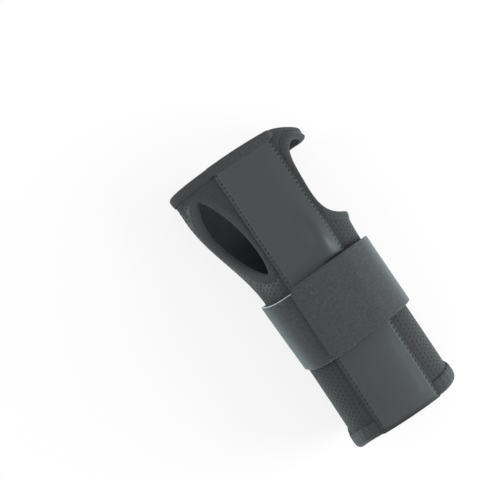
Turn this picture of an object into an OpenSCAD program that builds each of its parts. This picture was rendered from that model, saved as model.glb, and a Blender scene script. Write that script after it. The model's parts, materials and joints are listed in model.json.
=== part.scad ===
// Wrist splint for the right hand, lying on its back with the palm panel up.
// X points to the thumb side, Y to the fingers and Z up, and the floor is z = 0.
// A place on the splint is given by s, the distance from the cuff edge along the palm line,
// l, the distance round the limb from the palm line with the thumb side positive,
// and d, the height over the skin.

/* [Overall] */
// Length along the palm line from the cuff edge to the finger edge
splint_len = 199; // [193:1:218]
// Angle that the wrist is bent back, spread over the whole length
extension = 14.2; // [10:0.1:18]
// Depth of the flat that the splint rests on
rest_flat = 0.5; // [0.3:0.1:0.7]

/* [Limb inside] */
// Reach at the cuff from the palm line to the thumb side
forearm_thumb_side = 36; // [33:0.5:40]
// Reach at the cuff from the palm line to the little finger side
forearm_little_side = 32.5; // [30:0.5:38]
// Depth from the palm side to the back at the cuff
forearm_depth = 58; // [54:1:64]
// Distance from the finger edge to the narrowest part of the wrist
wrist_back = 93; // [88:1:98]
// Width at the wrist
wrist_w = 68; // [64:1:74]
// Depth at the wrist
wrist_depth = 46; // [42:1:48]
// Distance from the finger edge to where the hand has its full width
hand_back = 18; // [12:1:24]
// Reach of the hand from the palm line to the thumb side
hand_thumb_side = 40; // [37:0.5:44]
// Reach of the hand from the palm line to the little finger side
hand_little_side = 48.5; // [44:0.5:52]
// Depth of the hand at the finger edge
hand_depth = 34; // [31:1:38]
// Radius of the curve across the palm and across the back
palm_radius = 90; // [75:1:120]

/* [Sleeve] */
// Thickness of the mesh fabric
mesh_t = 3; // [2.8:0.1:4]
// Room between the raw edge of the mesh and the fold of its binding
edge_ease = 1.2; // [1:0.1:1.6]
// How far the cuff edge dips on the little finger side
cuff_dip = 7; // [4:0.5:9]
// Distance of that dip's lowest place from the palm line
cuff_dip_mid = 57; // [52:1:62]
// Length of the sleeve that follows that dip
cuff_dip_len = 50; // [44:1:52]
// How far the finger edge dips at the web of the thumb
web_dip = 7; // [5:0.5:8]
// Length of the sleeve that follows that dip
web_dip_len = 45; // [40:1:55]

/* [Palm panel] */
// Width of the panel
panel_w = 41.5; // [38:0.5:43]
// Thickness of the lining inside
lining_t = 1.2; // [0.8:0.1:1.5]
// Thickness of the cover outside
cover_t = 1.5; // [1:0.1:2]
// Width of the mesh that is sewn in under each edge of the panel
panel_seam = 4.25; // [3.5:0.25:4.5]

/* [Stay] */
// Distance from the cuff edge to the near end of the stay
stay_start = 7; // [5:1:12]
// Distance from the finger edge to the far end of the stay
stay_margin = 13; // [11:1:30]
// Thickness of the stay
stay_t = 1.5; // [1:0.1:1.6]
// Width of the bar on the forearm
stay_bar_w = 25; // [20:1:28]
// Width of the spoon in the palm
stay_spoon_w = 30; // [28.5:0.5:30]
// Length of the flare between the bar and the spoon
stay_flare = 34; // [20:1:45]
// Length of the straight part of the spoon
stay_spoon_len = 22; // [12:1:30]
// Length of each end cap
tip_len = 10; // [7:0.5:11]
// Wall of each end cap
tip_wall = 0.55; // [0.45:0.05:0.6]

/* [Thumb opening] */
// Distance of its upper end from the finger edge
thumb_margin = 8; // [8:0.5:10]
// Length along the arm
thumb_len = 61; // [54:1:61]
// Width round the limb
thumb_w = 44; // [38:1:46]
// Distance of its middle from the palm line
thumb_mid = 46.5; // [46.5:0.5:49]
// How far it leans away from the palm line over its length
thumb_lean = 4.5; // [2:0.5:5]

/* [Ulnar opening] */
// Distance of its upper tip from the finger edge
ulnar_margin = 15; // [14:0.5:17]
// Length along the arm
ulnar_len = 62; // [54:1:62]
// Distance of the line between its tips from the palm line
ulnar_mid = 32; // [32:0.5:35]
// How far that line leans away from the palm line
ulnar_lean = 11.5; // [8:0.5:12]
// Reach from that line to the palm side
ulnar_palm_w = 6; // [4:0.5:6]
// Reach from that line to the back
ulnar_back_w = 11.5; // [8:0.5:13]

/* [Bindings and hem] */
// Thickness of the binding tape
binding_t = 0.8; // [0.7:0.1:1]
// Width of the binding on each face round the two openings
binding_w = 6; // [4.5:0.5:6]
// Width of the binding along the finger edge
finger_band = 7; // [5.5:0.5:7]
// Width of the finger edge binding where the thumb web is narrow
web_band = 3.4; // [3:0.1:3.6]
// Thickness of the folded hem at the cuff
hem_t = 1.2; // [1:0.1:1.5]
// Width of the hem
hem_w = 10; // [8:1:13]

/* [Strap] */
// Width of the strap
strap_w = 50; // [45:1:52]
// Thickness of the strap
strap_t = 1.6; // [1.2:0.1:2]
// Distance from the wrist down to the middle of the strap
strap_below = 23.5; // [22:0.5:30]
// Distance of the sewn end from the palm line, on the thumb side
strap_sewn = 12; // [8:1:14]
// Distance of the free end from the palm line, on the little finger side
tail_reach = 21.5; // [16:0.5:26]
// Radius of the corners of the free end
tail_corner = 4; // [2:0.5:8]
// Distance of the strap's bend from the palm line, on the thumb side
bend_at = 46; // [42:1:48]
// How far the strap stands off the sleeve at the bend
stand_off = 2.2; // [1.6:0.1:3]
// Length over which the strap comes down from the bend to the sleeve
settle_len = 26; // [20:1:32]
// How far the strap's finger edge stands off on the little finger side
strap_flare = 1.6; // [1:0.1:2.4]
// Length over which the tail comes down from the sewn end to the bend
drop_len = 14; // [10:1:16]
// Length of the hook tab under the free end
hook_len = 26; // [18:1:28]
// Thickness of the hook tab
hook_t = 0.8; // [0.6:0.1:1]
// Margin of strap round the hook tab
hook_margin = 2.5; // [1.5:0.5:5]

/* [Clearances] */
// Gap between layers that are sewn together
seam_gap = 0.25; // [0.2:0.05:0.3]
// Gap between the strap's tail and the layers that it lies on
tail_gap = 0.35; // [0.3:0.05:0.5]
// Gap between the stay's caps and the pocket
pocket_gap = 0.3; // [0.25:0.05:0.35]
// Gap between the stay and the inside of its caps
cap_gap = 0.05; // [0.03:0.01:0.08]
// Slit between the strap and its tail at the bend
bend_slit = 0.8; // [0.6:0.1:1.2]

/* [Hidden] */

$fn = 360;
degree = 180 / PI;

// Sizes of the limb at the cuff, the wrist and the hand
thumb_reach = [forearm_thumb_side, wrist_w / 2, hand_thumb_side];
little_reach = [forearm_little_side, wrist_w / 2, hand_little_side];
depths = [forearm_depth, wrist_depth, hand_depth];

// Places along the palm line
wrist_at = splint_len - wrist_back;
hand_at = splint_len - hand_back;
stay_end = splint_len - stay_margin;
strap_at = wrist_at - strap_below;

// Heights of the layers over the skin
lining_top = -seam_gap;
lining_low = lining_top - lining_t;
cover_low = mesh_t + seam_gap;
cover_top = cover_low + cover_t;
stay_low = (lining_top + cover_low - stay_t) / 2;
stay_top = stay_low + stay_t;
tip_low = lining_top + pocket_gap;
tip_top = cover_low - pocket_gap;
strap_low = cover_top + seam_gap;
hook_low = strap_low + strap_t + tail_gap;
tail_low = hook_low + hook_t + seam_gap;
bend_low = mesh_t + seam_gap + stand_off;

// The palm line is an arc, and both ends of the back touch the floor
arc_r = splint_len * degree / extension;
cuff_r = arc_r - forearm_depth - mesh_t - seam_gap - hem_t;
finger_r = arc_r - hand_depth - mesh_t - seam_gap - binding_t;
cuff_turn = atan((finger_r * cos(extension) - cuff_r) / (finger_r * sin(extension)));
centre_z = -cuff_r * cos(cuff_turn) - rest_flat;
// Middle of the splint, from its reach to each side and from the tips of its two folded ends
cuff_tip_r = arc_r - forearm_depth / 2;
finger_tip_r = arc_r + (cover_top + lining_low) / 2;
mid_x = (hand_thumb_side - hand_little_side) / 2;
mid_y = (cuff_tip_r * sin(turn_at(-cuff_dip)) + finger_tip_r * sin(turn_at(splint_len))) / 2;

// Half the width, along the curve, of the part of a section that is a plain arc
zone_margin = 1.25;
zone = panel_w / 2 + zone_margin;
zone_turn = zone / palm_radius * degree;
zone_x = palm_radius * sin(zone_turn);
zone_drop = palm_radius * (1 - cos(zone_turn));
panel_edge = panel_w / 2 + seam_gap;
// Outer layers stay level this far past the panel and then step down over this length
step_from = 3.5;
step_len = 7;
// How far a shape that trims another reaches past it
spare = 3;

// Numbers of steps that curves are drawn with
side_steps = 16;
outline_steps = 180;
forearm_step = 12;
hand_step = 6;
ring_step = 2.8;
panel_cols = 8;
strap_step = 4;
strap_cols = 4;
corner_steps = 4;

function mix(a, b, t) = a + (b - a) * t;
function ease(t) = let (c = min(max(t, 0), 1)) c * c * (3 - 2 * c);
function turn_at(s) = cuff_turn + s / arc_r * degree;

// A size at s, from its values at the cuff, the wrist and the hand
function along(s, v) = s < wrist_at
    ? mix(v[0], v[1], ease(s / wrist_at))
    : mix(v[1], v[2], ease((s - wrist_at) / (hand_at - wrist_at)));

// Places from a to just before b, no more than step apart
function spread(a, b, step) =
    let (n = max(1, ceil((b - a) / step)))
    [for (i = [0 : n - 1]) mix(a, b, i / n)];

// Pairs of the length run along a line of points and the value at each point
function length_table(points, values) =
    let (last = len(points) - 1)
    [for (i = 0, run = 0; i <= last; run = run + norm(points[min(i + 1, last)] - points[i]), i = i + 1)
        [run, values[i]]];

function bezier(c, t) =
    pow(1 - t, 3) * c[0] + 3 * pow(1 - t, 2) * t * c[1] + 3 * (1 - t) * t * t * c[2] + pow(t, 3) * c[3];
function bezier_slope(c, t) =
    pow(1 - t, 2) * (c[1] - c[0]) + 2 * (1 - t) * t * (c[2] - c[1]) + t * t * (c[3] - c[2]);

// The curve round one side of the limb, from the palm arc to the arc of the back
function side_curve(reach, depth) =
    let (handle = (reach - zone_x) / 0.75,
         fall = handle * tan(zone_turn))
    [[zone_x, -zone_drop],
     [zone_x + handle, -zone_drop - fall],
     [zone_x + handle, zone_drop + fall - depth],
     [zone_x, zone_drop - depth]];

// Half a section: its side curve, the lengths along that curve and its depth
function half_ring(reach, depth) =
    let (c = side_curve(reach, depth),
         t = [for (i = [0 : side_steps]) i / side_steps])
    [c, length_table([for (v = t) bezier(c, v)], t), depth];
function half_len(h) = 2 * zone + h[1][side_steps][0];

// A section of the limb at s: s, the thumb half and the little finger half
function ring(s) = [
    s,
    half_ring(along(s, thumb_reach), along(s, depths)),
    half_ring(along(s, little_reach), along(s, depths))
];
function girth(r) = half_len(r[1]) + half_len(r[2]);

// Point and outward direction on half a section, at a along the skin from the palm line
function half_point(h, a) =
    let (side_len = h[1][side_steps][0])
    a <= zone
    ? let (k = a / palm_radius * degree)
        [[palm_radius * sin(k), palm_radius * (cos(k) - 1)], [sin(k), cos(k)]]
    : a <= zone + side_len
    ? let (t = lookup(a - zone, h[1]), v = bezier_slope(h[0], t))
        [bezier(h[0], t), [-v[1], v[0]] / norm(v)]
    : let (k = (2 * zone + side_len - a) / palm_radius * degree)
        [[palm_radius * sin(k), palm_radius * (1 - cos(k)) - h[2]], [sin(k), -cos(k)]];

// The point of ring r at l and d; l may run on past the middle of the back either way
function on(r, l, d) =
    let (half = half_len(r[1]),
         full = girth(r),
         thumb = l >= 0 ? l <= half : l < half - full,
         a = l >= 0 ? (thumb ? l : full - l) : (thumb ? full + l : -l),
         q = half_point(thumb ? r[1] : r[2], a),
         p = q[0] + d * q[1])
    in_frame(thumb ? p[0] : -p[0], arc_r + p[1], turn_at(r[0] - (thumb ? web_drop(r[0], a) : cuff_drop(r[0], a))));

// How far a place is drawn down the arm by the dip in the cuff edge or at the thumb web;
// each dip is smooth and ends at the edge of the panel
function dip(a, mid) = 1 - ease(abs(a - mid) / (mid - panel_w / 2));
function cuff_drop(s, a) = cuff_dip * dip(a, cuff_dip_mid) * ease(1 - s / cuff_dip_len);
function web_drop(s, a) = web_dip * dip(a, web_mid) * ease(1 - (splint_len - s) / web_dip_len);

function in_frame(x, radius, turn) =
    [x - mid_x, radius * sin(turn) - mid_y, radius * cos(turn) + centre_z];

// Heights of the outer and inner faces of what is sewn together at a distance a from the palm line
function panel_fade(a) = ease((a - panel_w / 2 - step_from) / step_len);
function outer_at(a) = mix(cover_top, mesh_t, panel_fade(a));
function inner_at(a) = mix(lining_low, 0, panel_fade(a));

// Places round ring r from one raw edge of the mesh under the panel to the other
mesh_slot = panel_w / 2 - panel_seam;
wrap_cols = ceil(girth(ring(0)) / ring_step);
function wrap_places(r) = [for (i = [0 : wrap_cols]) mix(mesh_slot, girth(r) - mesh_slot, i / wrap_cols)];

// An opening: middle s, half length, middle l, lean, half widths to lower and higher l, and two powers
thumb_hole = [
    splint_len - thumb_margin - thumb_len / 2, thumb_len / 2,
    thumb_mid, thumb_lean, thumb_w / 2, thumb_w / 2, 0.6, 0.6
];
ulnar_hole = [
    splint_len - ulnar_margin - ulnar_len / 2, ulnar_len / 2,
    -ulnar_mid, -ulnar_lean, ulnar_back_w, ulnar_palm_w, 1.5, 1
];
raw_edge = binding_t + edge_ease;
web_mid = thumb_mid + thumb_lean / 2;

function signed_pow(v, p) = sign(v) * pow(abs(v), p);
function hole_line(h, s) = h[2] + h[3] * (s - h[0]) / (2 * h[1]);

// Place on the finished edge of an opening, as [l, s], going clockwise seen from outside
function outline(h, t) =
    let (s = h[0] + h[1] * signed_pow(sin(t), h[7]))
    [hole_line(h, s) - (cos(t) < 0 ? h[5] : h[4]) * signed_pow(cos(t), h[6]), s];

// Direction away from an opening at turn t of its edge
function away(h, t) =
    let (v = outline(h, t + 1) - outline(h, t - 1))
    [-v[1], v[0]] / norm(v);

// Places round an opening's edge, evenly spaced at the outer edge of its binding, with that direction
function rim_places(h) =
    let (turns = [for (i = [0 : outline_steps]) 360 * i / outline_steps],
         table = length_table([for (t = turns) outline(h, t) + binding_w * away(h, t)], turns),
         full = table[outline_steps][0],
         count = ceil(full / ring_step))
    [for (i = [0 : count - 1])
        let (t = lookup(full * i / count, table))
        [outline(h, t), away(h, t)]];

// Two triangles that fill a b c d
function quad(a, b, c, d) = [[a, b, c], [a, c, d]];

// A closed sheet between an outer and an inner grid of points; loop joins its last row to the first
module sheet(outer, inner, loop = false) {
    rows = len(outer);
    cols = len(outer[0]);
    back = rows * cols;
    last = loop ? rows - 1 : rows - 2;
    edge = cols - 1;
    end = (rows - 1) * cols;
    function at(i, j) = (i % rows) * cols + j;
    front = [for (i = [0 : last], j = [0 : edge - 1])
        each quad(at(i, j), at(i + 1, j), at(i + 1, j + 1), at(i, j + 1))];
    rear = [for (t = front) [t[2] + back, t[1] + back, t[0] + back]];
    sides = [for (i = [0 : last], w = [[at(i + 1, 0), at(i, 0)], [at(i, edge), at(i + 1, edge)]])
        each quad(w[0], w[1], w[1] + back, w[0] + back)];
    ends = loop ? [] : [for (j = [0 : edge - 1], w = [[j, j + 1], [end + j + 1, end + j]])
        each quad(w[0], w[1], w[1] + back, w[0] + back)];
    polyhedron(
        points = [for (g = [outer, inner], row = g, p = row) p],
        faces = concat(front, rear, sides, ends));
}

// Section of a tape folded round an edge, as places e in from the edge and heights d.
// The tape's two legs have points at each of legs, and bend is where the fold starts,
// which is a number of tape thicknesses from the edge on the outer and on the inner face.
function fold(legs, bend, tip, top, low) = concat(
    [for (e = legs) [e, top]],
    [[bend, top], [tip, (top + low) / 2], [bend, low]],
    [for (i = [len(legs) - 1 : -1 : 0]) [legs[i], low]]);
outer_bend = 1.4;
inner_bend = 1.7;
function fold_outer(legs, top, low, t) =
    fold(legs, outer_bend * t, 0, top + seam_gap + t, low - seam_gap - t);
function fold_inner(legs, top, low, t) =
    fold(legs, inner_bend * t, t, top + seam_gap, low - seam_gap);

module hole_binding(h) {
    // The tape narrows where the panel or the finger edge is near
    places = [for (p = rim_places(h))
        let (o = p[0],
             n = p[1],
             to_panel = -sign(o[0]) * n[0],
             palm_room = to_panel > 0.05 ? (abs(o[0]) - panel_edge) / to_panel : binding_w,
             end_room = n[1] > 0.05 ? (splint_len - web_band - seam_gap - o[1]) / n[1] : binding_w)
        [o, n, min(binding_w, palm_room, end_room)]];
    function legs(w) = [w, (w + 2 * binding_t) / 2];
    function face(p, section) = [for (q = section)
        let (at = p[0] + q[0] * p[1])
        on(ring(at[1]), at[0], q[1])];
    sheet(
        [for (p = places) face(p, fold_outer(legs(p[2]), mesh_t, 0, binding_t))],
        [for (p = places) face(p, fold_inner(legs(p[2]), mesh_t, 0, binding_t))],
        loop = true);
}

// An arc band across the palm that follows the palm line from s0 to s1
module palm_band(width, low, top, s0, s1) {
    half_turn = width / 2 / palm_radius * degree;
    reach = palm_radius + top + spare;
    wing = reach * tan(half_turn);
    translate([-mid_x, -mid_y, centre_z])
        rotate([0, 90, 0])
            rotate_extrude(angle = turn_at(s1) - turn_at(s0), start = 180 - turn_at(s1))
                translate([arc_r - palm_radius, 0])
                    intersection() {
                        difference() {
                            circle(r = palm_radius + top);
                            circle(r = palm_radius + low);
                        }
                        polygon([[0, 0], [reach, wing], [reach, -wing]]);
                    }
}

// A block with the stay's outline seen from above, grown all round
module stay_block(grow) {
    function plan_y(s) = arc_r * sin(turn_at(s)) - mid_y;
    near = plan_y(stay_start) + stay_bar_w / 2;
    far = plan_y(stay_end) - stay_spoon_w / 2;
    spoon = far - stay_spoon_len;
    flare = spoon - stay_flare;
    bar = stay_bar_w / 2 + grow;
    wide = stay_spoon_w / 2 + grow;
    high = 2 * forearm_depth;
    translate([-mid_x, 0, 0]) {
        translate([0, near, 0])
            cylinder(h = high, r = bar);
        translate([0, far, 0])
            cylinder(h = high, r = wide);
        linear_extrude(height = high)
            polygon([
                [-bar, near], [-bar, flare], [-wide, spoon], [-wide, far],
                [wide, far], [wide, spoon], [bar, flare], [bar, near]
            ]);
    }
}

// The stay's shape with its outline moved out by grow, between two heights
module stay_form(grow, low, top) {
    intersection() {
        palm_band(stay_spoon_w + 2 * spare, low, top, stay_start - spare, stay_end + spare);
        stay_block(grow);
    }
}

// A cap over one end of the stay; the cap covers s0 to s1
module stay_tip(s0, s1) {
    difference() {
        intersection() {
            stay_form(tip_wall, tip_low, tip_top);
            palm_band(stay_spoon_w + 2 * spare, tip_low - spare, tip_top + spare, s0, s1);
        }
        stay_form(cap_gap, stay_low - cap_gap, stay_top + cap_gap);
    }
}

// A plug that cuts an opening through the mesh, along the directions square to the skin
module opening_cutter(h) {
    rim = [for (p = rim_places(h)) p[0] + raw_edge * p[1]];
    count = len(rim);
    // Depth of the plug under the skin, height of its rim and height of its crown
    low = -6;
    high = 16;
    crown = 24;
    points = concat(
        [for (d = [low, high], q = rim) on(ring(q[1]), q[0], d)],
        [for (d = [low, crown]) on(ring(h[0]), h[2], d)]);
    walls = [for (i = [0 : count - 1])
        let (j = (i + 1) % count)
        each concat(
            quad(i, j, count + j, count + i),
            [[j, i, 2 * count], [count + i, count + j, 2 * count + 1]])];
    polyhedron(points = points, faces = walls);
}

module mesh_sleeve() {
    far = splint_len - raw_edge;
    stations = concat(
        spread(hem_t + edge_ease, wrist_at, forearm_step), spread(wrist_at, far, hand_step), [far]);
    rings = [for (s = stations) ring(s)];
    function row(r, d) = [for (l = wrap_places(r)) on(r, l, d)];
    color("#1c1c1e")
        difference() {
            sheet([for (r = rings) row(r, mesh_t)], [for (r = rings) row(r, 0)]);
            opening_cutter(thumb_hole);
            opening_cutter(ulnar_hole);
        }
}

module palm_lining() {
    color("#2b2b2e")
        palm_band(panel_w, lining_low, lining_top, hem_t, splint_len - raw_edge);
}

module palm_cover() {
    color("#151517")
        palm_band(panel_w, cover_low, cover_top, 0, splint_len - raw_edge);
}

module palmar_stay() {
    color("#b9bcc0")
        stay_form(0, stay_low, stay_top);
}

module stay_tip_distal() {
    color("#3a3a3c")
        stay_tip(stay_end - tip_len, stay_end + spare);
}

module stay_tip_proximal() {
    color("#3a3a3c")
        stay_tip(stay_start - spare, stay_start + tip_len);
}

module thumb_binding() {
    color("#0e0e0f")
        hole_binding(thumb_hole);
}

module ulnar_binding() {
    color("#0e0e0f")
        hole_binding(ulnar_hole);
}

// The floor's side of the rest plane
module under_floor() {
    translate([-splint_len, -splint_len, -spare])
        cube([2 * splint_len, 2 * splint_len, spare]);
}

module finger_binding() {
    function leg(l) = mix(web_band, finger_band, ease((abs(l - web_mid) - thumb_w / 2) / step_len));
    // Places round the whole ring in falling order of l, with the palm last
    function places(r) =
        let (w = wrap_places(r),
             across = [for (i = [1 : panel_cols - 1]) mix(mesh_slot, -mesh_slot, i / panel_cols)])
        concat([for (i = [wrap_cols : -1 : 0]) w[i]], across);
    edge = places(ring(splint_len));
    full = girth(ring(splint_len));
    function face(i, inner) =
        let (a = min(abs(edge[i]), full - edge[i]),
             section = inner
                 ? fold_inner([leg(edge[i])], outer_at(a), inner_at(a), binding_t)
                 : fold_outer([leg(edge[i])], outer_at(a), inner_at(a), binding_t))
        [for (q = section)
            let (r = ring(splint_len - q[0]))
            on(r, places(r)[i], q[1])];
    stations = [0 : len(edge) - 1];
    color("#0e0e0f")
        difference() {
            sheet([for (i = stations) face(i, false)], [for (i = stations) face(i, true)], loop = true);
            under_floor();
        }
}

module cuff_hem() {
    // The hem runs from one edge of the panel round to the other
    function places(r) =
        let (far = girth(r) - panel_edge,
             between = [for (l = wrap_places(r)) if (l > panel_edge + 1 && l < far - 1) l])
        concat([panel_edge], between, [far]);
    function face(i, section) = [for (q = section)
        let (r = ring(q[0]))
        on(r, places(r)[i], q[1])];
    stations = [0 : len(places(ring(0))) - 1];
    color("#18181a")
        difference() {
            sheet(
                [for (i = stations) face(i, fold_outer([hem_w], mesh_t, 0, hem_t))],
                [for (i = stations) face(i, fold_inner([hem_w], mesh_t, 0, hem_t))]);
            under_floor();
        }
}

// Places across the strap's width, from its finger edge to its cuff edge
strap_sides = [for (j = [0 : strap_cols]) strap_at + strap_w * (0.5 - j / strap_cols)];

module strap_base() {
    count = ceil((girth(ring(strap_at)) + strap_sewn - bend_at) / strap_step);
    function row(f, up) = [for (s = strap_sides)
        let (r = ring(s),
             full = girth(r),
             start = bend_at + bend_slit / 2 - full,
             l = mix(start, strap_sewn, f),
             lift = stand_off * (1 - ease((l - start) / settle_len)) + flare(l) * (s - strap_sides[strap_cols]) / strap_w)
        on(r, l, outer_at(min(abs(l), full + l)) + seam_gap + lift + up)];
    // Stand-off of the finger edge between the tail's free end and the back of the wrist
    function flare(l) =
        strap_flare * ease((-l - tail_reach) / settle_len) * ease((l + tail_reach + 3 * settle_len) / settle_len);
    fractions = [for (i = [0 : count]) i / count];
    color("#111113")
        sheet([for (f = fractions) row(f, strap_t)], [for (f = fractions) row(f, 0)]);
}

module strap_tail() {
    drop_from = strap_sewn + hook_margin;
    end_l = bend_at - bend_slit / 2;
    corner = [for (i = [0 : corner_steps - 1]) tail_corner * (1 - cos(90 * i / corner_steps)) - tail_reach];
    places = concat(corner, spread(tail_corner - tail_reach, end_l, strap_step), [end_l]);
    // How far the two long edges draw in at the free end's rounded corners
    function draw_in(l) =
        let (x = max(0, tail_corner - tail_reach - l))
        tail_corner - sqrt(tail_corner * tail_corner - x * x);
    function row(l, up) = [for (s = strap_sides)
        let (at = strap_at + (s - strap_at) * (1 - 2 * draw_in(l) / strap_w))
        on(ring(at), l, mix(tail_low, bend_low, ease((l - drop_from) / drop_len)) + up)];
    color("#111113")
        sheet([for (l = places) row(l, strap_t)], [for (l = places) row(l, 0)]);
}

module hook_tab() {
    start = hook_margin - tail_reach;
    narrow = 1 - 2 * hook_margin / strap_w;
    places = concat(spread(start, start + hook_len, strap_step), [start + hook_len]);
    function row(l, up) = [for (s = strap_sides)
        on(ring(strap_at + (s - strap_at) * narrow), l, hook_low + up)];
    color("#2a2a2c")
        sheet([for (l = places) row(l, hook_t)], [for (l = places) row(l, 0)]);
}

mesh_sleeve();
palm_lining();
palm_cover();
palmar_stay();
stay_tip_distal();
stay_tip_proximal();
thumb_binding();
ulnar_binding();
finger_binding();
cuff_hem();
strap_base();
strap_tail();
hook_tab();
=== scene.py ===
# %% [markdown]
# # A wrist splint
# The splint is a sleeve of holed mesh with a smooth panel down the palm side, taped openings on
# the thumb side and the little finger side, and one wide strap. It lies on its back. The packed
# frame comes first, so that every piece can be made in the same metres.

# %% Load the frame
import json
import math
from functools import partial

import bmesh
import bpy
import numpy as np
from mathutils import Matrix, Vector
from mathutils.geometry import delaunay_2d_cdt


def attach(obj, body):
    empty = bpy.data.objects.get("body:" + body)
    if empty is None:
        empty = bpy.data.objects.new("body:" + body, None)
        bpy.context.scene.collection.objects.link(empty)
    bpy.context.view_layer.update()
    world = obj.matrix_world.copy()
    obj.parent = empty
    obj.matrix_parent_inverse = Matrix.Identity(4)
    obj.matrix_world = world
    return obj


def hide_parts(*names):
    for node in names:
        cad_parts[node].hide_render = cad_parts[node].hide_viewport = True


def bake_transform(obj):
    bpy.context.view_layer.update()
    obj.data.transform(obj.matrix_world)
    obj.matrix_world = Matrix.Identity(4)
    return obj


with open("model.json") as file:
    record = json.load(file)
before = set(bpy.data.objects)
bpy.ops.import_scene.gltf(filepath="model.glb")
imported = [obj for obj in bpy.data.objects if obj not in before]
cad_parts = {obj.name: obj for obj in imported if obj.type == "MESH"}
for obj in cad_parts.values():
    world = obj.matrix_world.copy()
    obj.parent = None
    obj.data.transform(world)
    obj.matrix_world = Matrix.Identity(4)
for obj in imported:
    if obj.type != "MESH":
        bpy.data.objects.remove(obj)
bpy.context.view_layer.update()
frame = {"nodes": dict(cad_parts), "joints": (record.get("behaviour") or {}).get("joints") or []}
MM = 0.001

# %% [markdown]
# ## The shape of the sleeve
# All soft pieces of the splint follow one surface, the inside of its sleeve. A place on it has
# s, the distance from the cuff edge along the palm line, l, the distance round the sleeve from
# the palm line, and d, the height over the inside, all in millimetres. The palm line is one
# long arc, about the same centre as the stay slides round. A form could be sculpted and
# wrapped, but functions of s, l and d make it easy to lay a fine grid anywhere on the surface.

# %% Sizes of the sleeve
SPLINT_LEN, EXTENSION = 199.0, math.radians(14.2)
WRIST_AT, HAND_AT = SPLINT_LEN - 93.0, SPLINT_LEN - 18.0
MESH_T, SEAM_GAP, HEM_T, TAPE_T = 3.0, 0.25, 1.2, 0.8
# Reach to each side and depth from palm to back, at the cuff, the wrist and the finger end
THUMB_REACH = (36.0, 34.0, 40.0)
LITTLE_REACH = (32.5, 34.0, 48.5)
DEPTHS = (58.0, 46.0, 34.0)

ARC_RADIUS = SPLINT_LEN / EXTENSION
joints = {j["name"]: j for j in frame["joints"]}
ARC_CENTRE = np.array(joints["stay_pull"]["pos_m"]) / MM
# The cuff is turned so that the hem and the finger tape both touch the floor
CUFF_BACK = ARC_RADIUS - DEPTHS[0] - MESH_T - SEAM_GAP - HEM_T
FINGER_BACK = ARC_RADIUS - DEPTHS[2] - MESH_T - SEAM_GAP - TAPE_T
BACK_RISE = FINGER_BACK * math.cos(EXTENSION) - CUFF_BACK
CUFF_TURN = math.atan(BACK_RISE / (FINGER_BACK * math.sin(EXTENSION)))
print("palm arc in mm:", round(ARC_RADIUS, 1), "about", ARC_CENTRE.round(1))

# %% [markdown]
# ## Sections of the sleeve
# Each section is an arc across the palm side, an arc across the back and a Bezier curve round
# each side. A drawn curve for every section would be hard to change, so all three sizes ease
# from the cuff to the wrist and on to the finger end, and one formula gives every section.

# %% Sections
PALM_RADIUS, PALM_HALF = 90.0, 22.0
PALM_TURN = PALM_HALF / PALM_RADIUS
SIDE_X = PALM_RADIUS * math.sin(PALM_TURN)
SIDE_DROP = PALM_RADIUS * (1.0 - math.cos(PALM_TURN))
# A Bezier curve with both handles equally far out reaches three quarters of the way to them
HANDLE_SHARE = 0.75


def ease(t):
    t = np.clip(t, 0.0, 1.0)
    return t * t * (3.0 - 2.0 * t)


def mix(a, b, t):
    return a + (b - a) * t


def along(s, sizes):
    cuff, wrist, hand = sizes
    lower = mix(cuff, wrist, ease(s / WRIST_AT))
    upper = mix(wrist, hand, ease((s - WRIST_AT) / (HAND_AT - WRIST_AT)))
    return np.where(s < WRIST_AT, lower, upper)


def side_curve(s, reach):
    """The four points of the Bezier curve round one side, across and up, for each s."""
    flat = 0 * s
    handle = (along(s, reach) - SIDE_X) / HANDLE_SHARE
    fall = handle * math.tan(PALM_TURN)
    depth = along(s, DEPTHS)
    x = np.stack([flat + SIDE_X, SIDE_X + handle, SIDE_X + handle, flat + SIDE_X], -1)
    n = np.stack([flat - SIDE_DROP, -SIDE_DROP - fall, SIDE_DROP + fall - depth, SIDE_DROP - depth], -1)
    return np.stack([x, n], -1)


print("depth in mm at cuff, wrist and finger end:",
      [float(along(s, DEPTHS)) for s in (0.0, WRIST_AT, SPLINT_LEN)])

# %% [markdown]
# ## Distances round a section
# Cloth has a length, so a place round a section is given by its distance from the palm line and
# not by an angle. A Bezier curve has no formula for that, so each curve is cut into short steps
# and their lengths are added up. A table of these along the sleeve saves doing it again.

# %% Distances round a section
SIDE_STEPS, TABLE_ROWS = 40, 397
TABLE_S = np.linspace(-1.0, SPLINT_LEN + 1.0, TABLE_ROWS)


def bezier(c, t):
    t = t[..., None]
    c = c[:, None] if t.ndim == 3 else c
    return ((1 - t) ** 3 * c[..., 0, :] + 3 * (1 - t) ** 2 * t * c[..., 1, :]
            + 3 * (1 - t) * t * t * c[..., 2, :] + t ** 3 * c[..., 3, :])


def bezier_slope(c, t):
    t = t[:, None]
    return ((1 - t) ** 2 * (c[:, 1] - c[:, 0]) + 2 * (1 - t) * t * (c[:, 2] - c[:, 1])
            + t * t * (c[:, 3] - c[:, 2]))


def side_lengths(c):
    """Distance along each curve to each of its steps."""
    steps = np.broadcast_to(np.linspace(0.0, 1.0, SIDE_STEPS + 1), (len(c), SIDE_STEPS + 1))
    walk = np.linalg.norm(np.diff(bezier(c, steps), axis=1), axis=2)
    return np.concatenate([np.zeros((len(c), 1)), np.cumsum(walk, axis=1)], 1)


THUMB_HALF, LITTLE_HALF = (2 * PALM_HALF + side_lengths(side_curve(TABLE_S, reach))[:, -1]
                           for reach in (THUMB_REACH, LITTLE_REACH))


def girth(s):
    return np.interp(s, TABLE_S, THUMB_HALF + LITTLE_HALF)


print("girth in mm at cuff, wrist and fingers:", girth(np.array([0.0, WRIST_AT, SPLINT_LEN])).round(1))

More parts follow.
